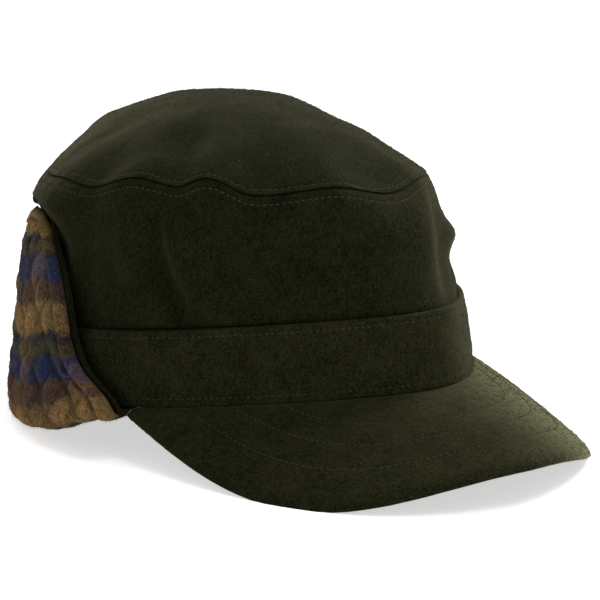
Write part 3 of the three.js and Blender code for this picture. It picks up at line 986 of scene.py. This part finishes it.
def fibre_tree():
    """Geometry nodes that scatter short brushed fibres over cloth."""
    found = bpy.data.node_groups.get("fibre_coat")
    if found:
        return found
    inputs = [
        ("Cloth", "Geometry"),
        ("Per Square Metre", "Float"),
        ("Fibre Length", "Float"),
        ("Fibre Width", "Float"),
        ("Brushed", "Vector"),
        ("Seed", "Int"),
        ("Fibre", "Material"),
    ]
    tree, source, result = new_nodes("fibre_coat", inputs, "Fibres")
    values = {
        "Mesh": source.outputs["Cloth"],
        "Density": source.outputs["Per Square Metre"],
        "Seed": source.outputs["Seed"],
    }
    spread = add_node(tree, "GeometryNodeDistributePointsOnFaces", values)
    values = {"Radius Bottom": source.outputs["Fibre Width"], "Depth": source.outputs["Fibre Length"]}
    values.update({"Vertices": 3, "Radius Top": 0.0})
    fibre = add_node(tree, "GeometryNodeMeshCone", values, fill_type="NONE")
    stray = add_node(tree, "FunctionNodeRandomValue", data_type="FLOAT_VECTOR")
    stray.inputs[0].default_value = (-0.7, -0.7, -0.7)
    stray.inputs[1].default_value = (0.7, 0.7, 0.7)
    tree.links.new(source.outputs["Seed"], stray.inputs["Seed"])
    values = {0: spread.outputs["Normal"], 1: (0.4, 0.4, 0.4), 2: stray.outputs[0]}
    raised = add_node(tree, "ShaderNodeVectorMath", values, operation="MULTIPLY_ADD")
    values = {0: raised.outputs[0], 1: source.outputs["Brushed"]}
    way = add_node(tree, "ShaderNodeVectorMath", values, operation="ADD")
    turn = add_node(tree, "FunctionNodeAlignRotationToVector", {"Vector": way.outputs[0]}, axis="Z")
    vary = add_node(tree, "FunctionNodeRandomValue", data_type="FLOAT_VECTOR")
    vary.inputs[0].default_value = (0.5, 0.5, 0.4)
    vary.inputs[1].default_value = (1.2, 1.2, 1.3)
    tree.links.new(source.outputs["Seed"], vary.inputs["Seed"])
    laid = add_node(
        tree,
        "GeometryNodeInstanceOnPoints",
        {
            "Points": spread.outputs["Points"],
            "Instance": fibre.outputs[0],
            "Rotation": turn.outputs[0],
            "Scale": vary.outputs[0],
        },
    )
    end_tree(tree, laid, source.outputs["Fibre"], result)
    return tree


def fibre_coat(name, sheet, brushed, dense, seed, material, along=None, up=None):
    """Short fibres over a grid of places in millimetres, as one plain mesh."""
    looks = bpy.context.scene.cap_wool
    index = np.arange(sheet.shape[0] * sheet.shape[1]).reshape(sheet.shape[:2])
    faces = sheet_faces(index)
    placed = (sheet.reshape(-1, 3) + (0, SETBACK, 0)) / METRE
    guide_mesh = bpy.data.meshes.new(name + "_cloth")
    guide_mesh.from_pydata(placed.tolist(), [], faces)
    if along is not None:
        places = np.stack([along.reshape(-1), up.reshape(-1), np.zeros(index.size)], axis=1) / METRE
        layer = guide_mesh.attributes.new("cloth", "FLOAT_VECTOR", "POINT")
        layer.data.foreach_set("vector", places.reshape(-1))
    guide = bpy.data.objects.new(name + "_cloth", guide_mesh)
    bpy.context.scene.collection.objects.link(guide)
    values = {
        "Per Square Metre": dense * METRE * METRE,
        "Fibre Length": looks.fibre_length,
        "Fibre Width": looks.fibre_width,
        "Brushed": brushed,
        "Seed": seed,
        "Fibre": material,
    }
    return run_nodes(guide, fibre_tree(), values, name)


def run_nodes(guide, tree, values, name):
    """Runs geometry nodes on a guide object and keeps what they make as a plain mesh."""
    laid = guide.modifiers.new(tree.name, "NODES")
    laid.node_group = tree
    for item in tree.interface.items_tree:
        if item.in_out == "INPUT" and item.name in values:
            laid[item.identifier] = values[item.name]
    return made_plain(guide, name)


def sewn_rows(name, lines, sizes, seed, material):
    """Stitches along lines of places in millimetres, as one plain mesh."""
    points, edges, start = [], [], 0
    for line in lines:
        points.extend(((np.asarray(line) + (0, SETBACK, 0)) / METRE).tolist())
        edges.extend((start + i, start + i + 1) for i in range(len(line) - 1))
        start += len(line)
    guide_mesh = bpy.data.meshes.new(name + "_line")
    guide_mesh.from_pydata(points, edges, [])
    guide = bpy.data.objects.new(name + "_line", guide_mesh)
    bpy.context.scene.collection.objects.link(guide)
    length, pitch, width = sizes
    values = {
        "Stitch Length": length,
        "Pitch": pitch,
        "Thread Width": width,
        "Seed": seed,
        "Thread": material,
    }
    return run_nodes(guide, stitch_tree(), values, name)


def made_plain(guide, name):
    """Turns what a guide's nodes make into a plain mesh object, and removes the guide."""
    graph = bpy.context.evaluated_depsgraph_get()
    mesh = bpy.data.meshes.new_from_object(guide.evaluated_get(graph))
    mesh.name = name
    mesh.polygons.foreach_set("use_smooth", [True] * len(mesh.polygons))
    piece = bpy.data.objects.new(name, mesh)
    bpy.context.scene.collection.objects.link(piece)
    bpy.data.objects.remove(guide)
    return piece


def fibre_material():
    """Wool fibres, mostly dull and here and there pale."""
    found = bpy.data.materials.get("wool_fibre")
    if found:
        return found
    looks = bpy.context.scene.cap_wool
    material, tree, shader = new_material("wool_fibre")
    place = place_in_mm(tree)
    values = {"Value": noise_value(tree, place, 0.9, 1.0), "From Min": 0.6, "From Max": 0.78}
    pale = add_node(tree, "ShaderNodeMapRange", values).outputs[0]
    dull = tuple(2.6 * c for c in looks.colour)
    colour = mix_colours(tree, pale, (*dull, 1), (*looks.fibre_colour, 1))
    tree.links.new(colour, shader.inputs["Base Color"])
    shader.inputs["Roughness"].default_value = 0.9
    shader.inputs["Specular IOR Level"].default_value = 0.1
    return material


def number(name, description, default, **settings):
    """A number as a property."""
    return bpy.props.FloatProperty(name=name, description=description, default=default, **settings)


def length_value(name, description, default):
    """A length in metres as a property."""
    return number(name, description, default, subtype="DISTANCE", unit="LENGTH")


def share_value(name, description, default):
    """A share from 0 to 1 as a property."""
    return number(name, description, default, subtype="FACTOR", min=0, max=1)


def angle_value(name, description, default):
    """An angle as a property."""
    return number(name, description, default, subtype="ANGLE", unit="ROTATION")


def power_value(name, description, default):
    """A light's power as a property."""
    return number(name, description, default, unit="POWER")


def colour_value(name, description, default):
    """A colour as a property."""
    settings = {"subtype": "COLOR", "min": 0, "max": 1}
    return bpy.props.FloatVectorProperty(name=name, description=description, default=default, **settings)


class CapWool(bpy.types.PropertyGroup):
    """The felted wool's looks."""

    colour: colour_value("Colour", "Base colour of the wool", (0.0122, 0.0125, 0.0052))
    fibre_colour: colour_value("Fibre Ends", "Colour of the pale fibre ends", (0.1, 0.1, 0.06))
    fibre_ends: share_value("Fibre Ends Shown", "How strongly the pale fibre ends show", 0.35)
    tuft_size: length_value("Tuft Size", "Width of the nap's light and dark tufts", 0.00068)
    relief: length_value("Nap Depth", "Depth of the nap's relief", 0.00025)
    fibre_length: length_value("Fibre Length", "Length of the loose fibres", 0.0013)
    fibre_width: length_value("Fibre Width", "Width of the loose fibres at their root", 0.0001)
    sheen: share_value("Sheen", "How much the nap catches light at a glancing angle", 0.11)


def plaid_colour(name, colour):
    """A colour of the plaid as a property."""
    return colour_value(name, name + " yarn of the plaid", colour)


class CapPlaid(bpy.types.PropertyGroup):
    """The flannel's check."""

    rust: plaid_colour("Rust", (0.085, 0.045, 0.034))
    ochre: plaid_colour("Ochre", (0.25, 0.15, 0.054))
    slate: plaid_colour("Slate", (0.016, 0.021, 0.027))
    olive: plaid_colour("Olive", (0.056, 0.05, 0.02))
    navy: plaid_colour("Navy", (0.014, 0.027, 0.092))
    repeat: length_value("Repeat", "Distance after which the check starts again", 0.043)
    weft_start: length_value("Weft Start", "Where the level stripes begin", -0.0089)
    warp_start: length_value("Warp Start", "Where the upright stripes begin", 0.015)
    warp_share: share_value("Warp Share", "How much of the colour comes from the upright stripes", 0.3)
    fray: length_value("Brushed Edges", "How far the brushing carries one colour into the next", 0.009)


class CapSewing(bpy.types.PropertyGroup):
    """Stitches and quilting."""

    stitch: length_value("Stitch", "Length of one stitch on top of the cloth", 0.0016)
    pitch: length_value("Pitch", "Distance from one stitch to the next", 0.0024)
    thread: length_value("Thread Width", "Width of the sewing thread", 0.00045)
    colour: colour_value("Thread", "Colour of the sewing thread", (0.055, 0.055, 0.024))
    diamond_width: length_value("Diamond Width", "Width of one quilted diamond", 0.017)
    diamond_height: length_value("Diamond Height", "Height of one quilted diamond", 0.021)
    puff: length_value("Puff", "How deep the sewn lines sink between the diamonds", 0.0031)


class CapStage(bpy.types.PropertyGroup):
    """Camera, light and floor."""

    distance: length_value("Distance", "How far the camera stands from the cap's middle", 1.0)
    lens: bpy.props.FloatProperty(
        name="Lens",
        description="Focal length in millimetres on a 36 mm sensor",
        default=149.7,
    )
    turn: angle_value(
        "Turn",
        "How far the camera stands round to the wearer's right of straight ahead",
        math.radians(36.55),
    )
    height: angle_value("Height", "How far above the level the camera looks down from", math.radians(12.24))
    top_light: power_value("Top Light", "Strength of the large soft light overhead", 7.0)
    side_light: power_value("Side Light", "Strength of the soft light at the right", 18.0)
    front_light: power_value("Front Light", "Strength of the soft light high in front", 6.0)
    surround: bpy.props.FloatProperty(
        name="Surround",
        description="Brightness of the pale surround",
        default=0.45,
        min=0,
    )


def wool_nap(name, sheet, brushed, dense, seed):
    """Loose wool fibres over a piece's outer face; dense is how many lie on a square millimetre."""
    nap = fibre_coat(name, sheet, brushed, dense, seed, fibre_material())
    finish_piece(nap, fibre_material(), "wool_felt")


class CapOperator:
    """What the cap's operators share."""

    bl_options = {"REGISTER", "UNDO"}

    def execute(self, context):
        """Builds, and lets an error stop the script."""
        self.build(context.scene)
        return {"FINISHED"}


class CAP_OT_stage(CapOperator, bpy.types.Operator):
    """Sets the camera at the photographed angle, with soft lights, a pale surround and a floor"""

    bl_idname = "cap.stage"
    bl_label = "Stage"

    def build(self, scene):
        looks = scene.cap_stage
        middle = Vector((0, SETBACK / METRE, 0.06))
        right = Vector((math.cos(looks.turn), -math.sin(looks.turn), 0))
        back = Vector((-math.sin(looks.turn), -math.cos(looks.turn), 0)) * math.cos(looks.height)
        back.z = math.sin(looks.height)
        up = back.cross(right)
        eye = middle + back * looks.distance
        aim = middle + right * 0.0152 - up * 0.0142
        data = bpy.data.cameras.new("photo_camera")
        data.lens = looks.lens
        data.sensor_width = 36
        data.clip_start, data.clip_end = 0.01, 50
        camera = bpy.data.objects.new("photo_camera", data)
        camera.location = eye
        camera.rotation_mode = "QUATERNION"
        camera.rotation_quaternion = (eye - aim).to_track_quat("Z", "Y")
        scene.collection.objects.link(camera)
        scene.camera = camera
        for name, place, size, setting in LIGHTS:
            self.light(scene, name, place, size, getattr(looks, setting), middle)
        self.surround(scene, looks.surround)
        self.floor(scene)
        scene.view_settings.view_transform = "Standard"

    def light(self, scene, name, place, size, power, target):
        """One square area light that faces the cap."""
        data = bpy.data.lights.new(name, "AREA")
        data.shape = "SQUARE"
        data.size = size
        data.energy = power
        lamp = bpy.data.objects.new(name, data)
        lamp.location = place
        lamp.rotation_mode = "QUATERNION"
        lamp.rotation_quaternion = (Vector(place) - target).to_track_quat("Z", "Y")
        scene.collection.objects.link(lamp)

    def surround(self, scene, brightness):
        """White where the camera sees it, and softer where it lights the cap."""
        world = bpy.data.worlds.new("pale_surround")
        world.use_nodes = True
        tree = world.node_tree
        tree.nodes.clear()
        output = tree.nodes.new("ShaderNodeOutputWorld")
        seen = add_node(tree, "ShaderNodeBackground", {"Color": (1, 1, 1, 1), "Strength": 1.0})
        facing = add_node(tree, "ShaderNodeTexCoord").outputs["Generated"]
        values = {0: facing, 1: BRIGHT_SIDE}
        towards = add_node(tree, "ShaderNodeVectorMath", values, operation="DOT_PRODUCT").outputs["Value"]
        values = {"Value": towards, "From Min": -1.0}
        values.update({"To Min": brightness * 0.06, "To Max": brightness * 1.5})
        strength = add_node(tree, "ShaderNodeMapRange", values).outputs[0]
        felt = add_node(tree, "ShaderNodeBackground", {"Color": (1, 1, 1, 1), "Strength": strength})
        path = tree.nodes.new("ShaderNodeLightPath")
        both = add_node(tree, "ShaderNodeMixShader", {0: path.outputs["Is Camera Ray"]})
        tree.links.new(felt.outputs[0], both.inputs[1])
        tree.links.new(seen.outputs[0], both.inputs[2])
        tree.links.new(both.outputs[0], output.inputs[0])
        scene.world = world

    def floor(self, scene):
        """A wide pale floor that glows a little, and more where the camera sees it."""
        mesh = bpy.data.meshes.new("floor")
        reach = 6.0
        corners = [(-reach, -reach, 0), (reach, -reach, 0), (reach, reach, 0), (-reach, reach, 0)]
        mesh.from_pydata(corners, [], [(0, 1, 2, 3)])
        floor = bpy.data.objects.new("floor", mesh)
        scene.collection.objects.link(floor)
        material, tree, shader = new_material("pale_floor")
        shader.inputs["Base Color"].default_value = (0.85, 0.85, 0.85, 1)
        shader.inputs["Roughness"].default_value = 0.9
        shader.inputs["Emission Color"].default_value = (1, 1, 1, 1)
        path = tree.nodes.new("ShaderNodeLightPath")
        shown = do_math(tree, "MULTIPLY_ADD", path.outputs["Is Camera Ray"], 0.3, 0.3)
        tree.links.new(shown, shader.inputs["Emission Strength"])
        mesh.materials.append(material)


class CAP_OT_crown_side(CapOperator, bpy.types.Operator):
    """Builds the crown's soft side panel with its folds"""

    bl_idname = "cap.crown_side"
    bl_label = "Crown Side"

    def build(self, scene):
        columns = 600
        angle = np.linspace(-180, 180, columns, endpoint=False)[None, :]
        share = np.concatenate([np.linspace(0, 0.9, 70), np.linspace(0.905, 1, 22)])[:, None]
        outer = crown_side_point(*np.broadcast_arrays(angle, share))
        inner_share = np.linspace(1, 0, 12)[:, None]
        inner = crown_side_point(*np.broadcast_arrays(angle, inner_share), inside=WOOL)
        tucked = -WOOL - SEWN_GAP
        foot_out = tucked - BAND["lean"] * CROWN_FOOT / BAND["height"]
        foot = at_hem(angle, foot_out, CROWN_FOOT)
        heel = at_hem(angle, tucked - WOOL, CROWN_FOOT)
        rows = np.concatenate([foot, outer, inner, heel])
        faces = wrapped_faces(len(rows), columns, True)
        piece = make_mesh("crown_side_panel", rows, faces)
        finish_piece(piece, wool_material("felted_wool"), "wool_felt", "crown_side")
        wool_nap("crown_side_nap", outer[::-1], NAP_DOWN, 0.5, 61)


class CAP_OT_crown_tip(CapOperator, bpy.types.Operator):
    """Builds the domed tip panel"""

    bl_idname = "cap.crown_tip"
    bl_label = "Crown Tip"

    def build(self, scene):
        columns = 600
        angle = np.linspace(-180, 180, columns, endpoint=False)[None, :]
        share = np.concatenate([np.linspace(0, 0.08, 14), np.linspace(0.095, 0.985, 46)])[:, None]
        over = tip_point(*np.broadcast_arrays(angle, share))
        under_share = np.linspace(0.985, 0, 12)[:, None]
        under = tip_point(*np.broadcast_arrays(angle, under_share), inside=WOOL)
        rows = np.concatenate([over[::-1], under[::-1]])
        faces = wrapped_faces(len(rows), columns, False)
        top = over[-1].mean(axis=0)
        bottom = under[0].mean(axis=0)
        points = np.concatenate([rows.reshape(-1, 3), [top, bottom]])
        middle = len(points) - 2
        last = (len(rows) - 1) * columns
        for c in range(columns):
            side = (c + 1) % columns
            faces.append([c, middle, side])
            faces.append([last + side, middle + 1, last + c])
        piece = make_mesh("crown_tip_panel", points, faces)
        finish_piece(piece, wool_material("felted_wool_level"), "wool_felt", "crown_tip")
        wool_nap("crown_tip_nap", over[::-1], NAP_FORWARDS, 0.5, 63)


class CAP_OT_band(CapOperator, bpy.types.Operator):
    """Builds the band with its turned edges"""

    bl_idname = "cap.band"
    bl_label = "Band"

    def build(self, scene):
        columns = 720
        angle = np.linspace(-180, 180, columns, endpoint=False)
        edge = WOOL / 2
        top = BAND["height"]
        section = [(rise, 0.0) for rise in np.linspace(edge * 0.8, top - edge * 0.8, BAND_ROWS)]
        section += self.turned(top - edge * 0.8, edge, 1)
        section += [(rise, WOOL) for rise in np.linspace(top - edge, edge, 8)]
        section += self.turned(edge * 0.8, edge, -1)[::-1]
        rows = np.stack([band_point(angle, rise, inside) for rise, inside in section])
        piece = make_mesh("hat_band", rows, wrapped_faces(len(rows), columns, True))
        finish_piece(piece, wool_material("felted_wool_band"), "wool_felt", "band")
        wool_nap("band_nap", rows[BAND_ROWS - 1 :: -1], NAP_DOWN, 0.5, 65)

    def turned(self, rise, radius, way):
        """A half-round edge of folded cloth, from the outer face to the inner one."""
        turns = np.linspace(0, np.pi, 8)[1:-1]
        return [(rise + way * radius * 0.8 * math.sin(a), radius * (1 - math.cos(a))) for a in turns]


class CAP_OT_peak(CapOperator, bpy.types.Operator):
    """Builds the stiff peak with its soft thick edge and three rows of stitches"""

    bl_idname = "cap.peak"
    bl_label = "Peak"

    def build(self, scene):
        columns = 380
        fine = peak_edge(np.linspace(-1, 1, 1600))
        rim = evenly(fine, columns, PEAK["left_out"])
        turn = np.linspace(-1, 1, columns)
        top = self.top_face(rim, turn, np.concatenate([np.linspace(0, 0.9, 52), np.linspace(0.91, 1, 8)]))
        away = self.distance_to(fine, top)
        grooves = sum(bump(away - row, 0.9) for row in PEAK_ROWS)
        top[..., 2] -= 0.1 * grooves
        top[..., 2] += 0.3 * cloth_noise(top, 26, 31) * np.clip(away / 20, 0, 1)
        top[..., 2] += 0.06 * cloth_noise(top, 3.4, 33)
        half = PEAK["thickness"] / 2
        ease = round_over(away, half * 2.1)
        middle = top - np.array([0, 0, half])
        over = middle + np.array([0, 0, 1.0]) * (half * ease)[..., None]
        under = middle - np.array([0, 0, 1.0]) * (half * ease)[..., None]
        piece, _ = pillow("stiff_peak", over, on_table(under))
        finish_piece(piece, wool_material("felted_wool_peak"), "wool_felt", "peak")
        wool_nap("peak_nap", over, NAP_FORWARDS, 0.6, 67)
        sewing = scene.cap_sewing
        rows = [self.stitch_line(over, away, row) for row in PEAK_ROWS]
        thread = thread_material("olive_thread", sewing.colour)
        sizes = (sewing.stitch, sewing.pitch, sewing.thread * 0.8)
        stitches = sewn_rows("peak_stitches", rows, sizes, 5, thread)
        finish_piece(stitches, thread, "wool_felt")

    def top_face(self, rim, turn, shares):
        """The peak's upper face, one line of places from band to edge for each place on the rim."""
        half = PEAK["thickness"] / 2
        tucked = at_hem(PEAK["end"] * turn, -ROOT_TUCK, -SEWN_GAP / 2)
        root = at_hem(PEAK["end"] * turn, 0.1, -SEWN_GAP / 2)
        width = np.hypot(rim[:, 0] - root[:, 0], rim[:, 1] - root[:, 1])
        highest = root[:, 2] - width * PEAK_SLOPE["least"]
        rim_top = rim.copy()
        rim_top[:, 2] = np.minimum(rim[:, 2] + half, highest)
        arch = PEAK_SLOPE["arch"] * np.minimum(1, width / PEAK_SLOPE["arched_from"])
        share = shares[None, :, None]
        face = root[:, None] * (1 - share) + rim_top[:, None] * share
        face[..., 2] += arch[:, None] * 4 * shares * (1 - shares)
        under = np.linspace(0, 1, 4)[None, :-1, None]
        return np.concatenate([tucked[:, None] * (1 - under) + root[:, None] * under, face], axis=1)

    def distance_to(self, rim, face):
        """How far each place of the face lies from the rim, seen from above."""
        flat = face[..., :2].reshape(-1, 2)
        nearest = np.full(len(flat), np.inf)
        for start in range(0, len(flat), 4000):
            part = flat[start : start + 4000]
            gaps = part[:, None] - rim[None, :, :2]
            nearest[start : start + 4000] = np.hypot(gaps[..., 0], gaps[..., 1]).min(axis=1)
        away = nearest.reshape(face.shape[:2])
        away[:, -1] = 0
        return away

    def stitch_line(self, face, away, inset):
        """The places on the face that lie at one distance from the rim."""
        line = []
        turns = np.linspace(-1, 1, len(face))
        for column, distances, turn in zip(face, away, turns):
            if distances[0] > inset + 1.5 and abs(turn) < 0.85:
                spots = [np.interp(-inset, -distances, column[:, k]) for k in range(3)]
                line.append(spots)
        line = np.array(line)
        line[:, 2] += 0.1
        return line


class CAP_OT_earflap_shell(CapOperator, bpy.types.Operator):
    """Builds the earflap's wool ply, which shows as an edge round the lining"""

    bl_idname = "cap.earflap_shell"
    bl_label = "Earflap Shell"

    def build(self, scene):
        middle, half = flap_ply(
            300, 90, 0, SHELL_FOOT, 0, lambda pad: pad + PLY_GAP + SHELL, lambda pad: pad + PLY_GAP, 0
        )
        away = border_distance(middle)
        out = outwards_of(half)
        edge = round_over(away, 1.1)
        roll = 0.55 * bump(away - 1.2, 1.1) * edge
        wave = 0.15 * cloth_noise(middle, 14, 41) * edge
        outer = middle + half * edge[..., None] + out * (roll + wave)[..., None]
        inner = middle - half * edge[..., None] - out * (roll - wave)[..., None]
        piece, _ = pillow("earflap_shell_ply", on_table(outer), on_table(inner))
        finish_piece(piece, wool_material("felted_wool"), "wool_felt", "earflap_shell")


class CAP_OT_earflap_lining(CapOperator, bpy.types.Operator):
    """Builds the earflap's padded plaid ply with its diamond quilting"""

    bl_idname = "cap.earflap_lining"
    bl_label = "Earflap Lining"

    def build(self, scene):
        sewing = scene.cap_sewing
        middle, half = flap_ply(
            440,
            112,
            PIPING_FRONT,
            LINING_FOOT,
            PIPING_TOP,
            lambda pad: pad,
            lambda pad: pad * 0,
            LINING_ROUND,
        )
        away = border_distance(middle)
        along = self.cloth_along(middle)
        up = grid_lengths(middle, 1)
        out = outwards_of(half)
        width, height = sewing.diamond_width * METRE, sewing.diamond_height * METRE
        drift = 1.2 * cloth_noise(middle, 30, 51)
        full = quilt(along + drift, up + drift * 0.7, width, height) ** 0.55
        inside = smooth(np.clip((away - 5.5) / 3.5, 0, 1))
        puff = sewing.puff * METRE
        plump = 0.75 + 0.35 * cloth_noise(middle, 15, 53)
        relief = (full * plump - 0.85) * puff * inside
        welt = self.welt(away)
        fuzz = 0.16 * cloth_noise(middle, 3.0, 55) * welt
        outer = middle + half * welt[..., None] + out * (relief + fuzz)[..., None]
        inner = middle - half * welt[..., None]
        piece, back = pillow("earflap_lining_ply", on_table(outer), on_table(inner))
        self.map_cloth(piece, along, up, back)
        crease = (1 - full) ** 2 * inside
        crease = np.maximum(crease, bump(away - self.groove, 0.9))
        self.mark(piece, crease)
        finish_piece(piece, flannel_material(), "plaid_flannel", "earflap_lining")
        nap = fibre_coat("lining_nap", outer, (0, 0, -0.2), 0.7, 69, flannel_material(), along, up)
        finish_piece(nap, flannel_material(), "plaid_flannel")

    groove = 6.4

    def cloth_along(self, grid):
        """How far along the flap each column lies, measured from the middle of the back."""
        across = grid_lengths(grid, 0)
        return across - across[across.shape[0] // 2][None, :]

    def welt(self, away):
        """The rolled edge of the padding, with the sewn groove behind it."""
        return round_over(away, 2.6) * (1 - 0.6 * bump(away - self.groove, 1.1))

    def map_cloth(self, piece, along, up, back):
        """The cloth's own map, in metres along and up the flap."""
        columns, rows = along.shape
        total = len(piece.data.vertices)
        places = np.zeros((total, 2))
        flat = np.stack([along.reshape(-1), up.reshape(-1)], axis=1)
        places[: columns * rows] = flat
        places[back.reshape(-1)] = flat
        corners = np.zeros(len(piece.data.loops), int)
        piece.data.loops.foreach_get("vertex_index", corners)
        layer = piece.data.uv_layers.new(name="cloth")
        layer.data.foreach_set("uv", (places[corners] / METRE).reshape(-1))

    def mark(self, piece, crease):
        """Marks how close each place is to a sewn line, where the flannel's colour is darkened as painted
        shade.
        """
        values = np.zeros(len(piece.data.vertices))
        values[: crease.size] = crease.reshape(-1)
        layer = piece.data.attributes.new("crease", "FLOAT", "POINT")
        layer.data.foreach_set("value", values)


class CAP_OT_topstitching(CapOperator, bpy.types.Operator):
    """Sews the rows of stitches on the band and beside the tip's seam"""

    bl_idname = "cap.topstitching"
    bl_label = "Topstitching"

    def build(self, scene):
        sewing = scene.cap_sewing
        thread = thread_material("olive_thread", sewing.colour)
        sizes = (sewing.stitch, sewing.pitch, sewing.thread)
        angle = np.linspace(-180, 180, 721)
        sunk = sewing.thread * METRE * 0.1
        rows = [
            band_point(angle, np.full(721, BAND["height"] - STITCH_INSET)) - level_push(angle, sunk),
            band_point(angle, np.full(721, float(STITCH_INSET))) - level_push(angle, sunk),
        ]
        finish_piece(sewn_rows("band_stitches", rows, sizes, 1, thread), thread, "wool_felt")
        low = at_hem(angle, -BAND["lean"] - WOOL - SEWN_GAP, BAND["height"])
        height = np.linalg.norm(at_seam(angle, 0, 0) - low, axis=-1)
        side_row = crown_side_point(angle, 1 - STITCH_INSET / height)
        rim = at_seam(angle, 0, SEWN_GAP)
        reach = np.hypot(rim[:, 0] - TIP["x"], rim[:, 1] - TIP["y"]) * 1.2
        tip_row = tip_point(angle, STITCH_INSET / reach)
        finish_piece(sewn_rows("seam_stitches", [side_row, tip_row], sizes, 2, thread), thread, "wool_felt")


class CAP_PT_sidebar(bpy.types.Panel):
    """Lists the cap's pieces and looks"""

    bl_idname = "CAP_PT_sidebar"
    bl_label = "Wool Cap"
    bl_space_type = "VIEW_3D"
    bl_region_type = "UI"
    bl_category = "Cap"

    def draw(self, context):
        for operator in OPERATORS:
            self.layout.operator(operator.bl_idname)
        for group in (context.scene.cap_wool, context.scene.cap_plaid, context.scene.cap_sewing):
            box = self.layout.box()
            for name in group.bl_rna.properties.keys():
                if name not in ("rna_type", "name"):
                    box.prop(group, name)


OPERATORS = [
    CAP_OT_stage,
    CAP_OT_crown_side,
    CAP_OT_crown_tip,
    CAP_OT_band,
    CAP_OT_peak,
    CAP_OT_earflap_shell,
    CAP_OT_earflap_lining,
    CAP_OT_topstitching,
]
GROUPS = {"cap_wool": CapWool, "cap_plaid": CapPlaid, "cap_sewing": CapSewing, "cap_stage": CapStage}


def register():
    """Makes the cap's settings, operators and panel known."""
    for name, group in GROUPS.items():
        bpy.utils.register_class(group)
        setattr(bpy.types.Scene, name, bpy.props.PointerProperty(type=group))
    for item in [*OPERATORS, CAP_PT_sidebar]:
        bpy.utils.register_class(item)


def unregister():
    """Takes the cap's settings, operators and panel away."""
    for item in reversed([*OPERATORS, CAP_PT_sidebar]):
        bpy.utils.unregister_class(item)
    for name, group in GROUPS.items():
        delattr(bpy.types.Scene, name)
        bpy.utils.unregister_class(group)


def main():
    """Builds the cap and its stage."""
    register()
    bpy.ops.cap.stage()
    bpy.ops.cap.crown_side()
    bpy.ops.cap.crown_tip()
    bpy.ops.cap.band()
    bpy.ops.cap.peak()
    bpy.ops.cap.earflap_shell()
    bpy.ops.cap.earflap_lining()
    bpy.ops.cap.topstitching()


if __name__ == "__main__":
    main()
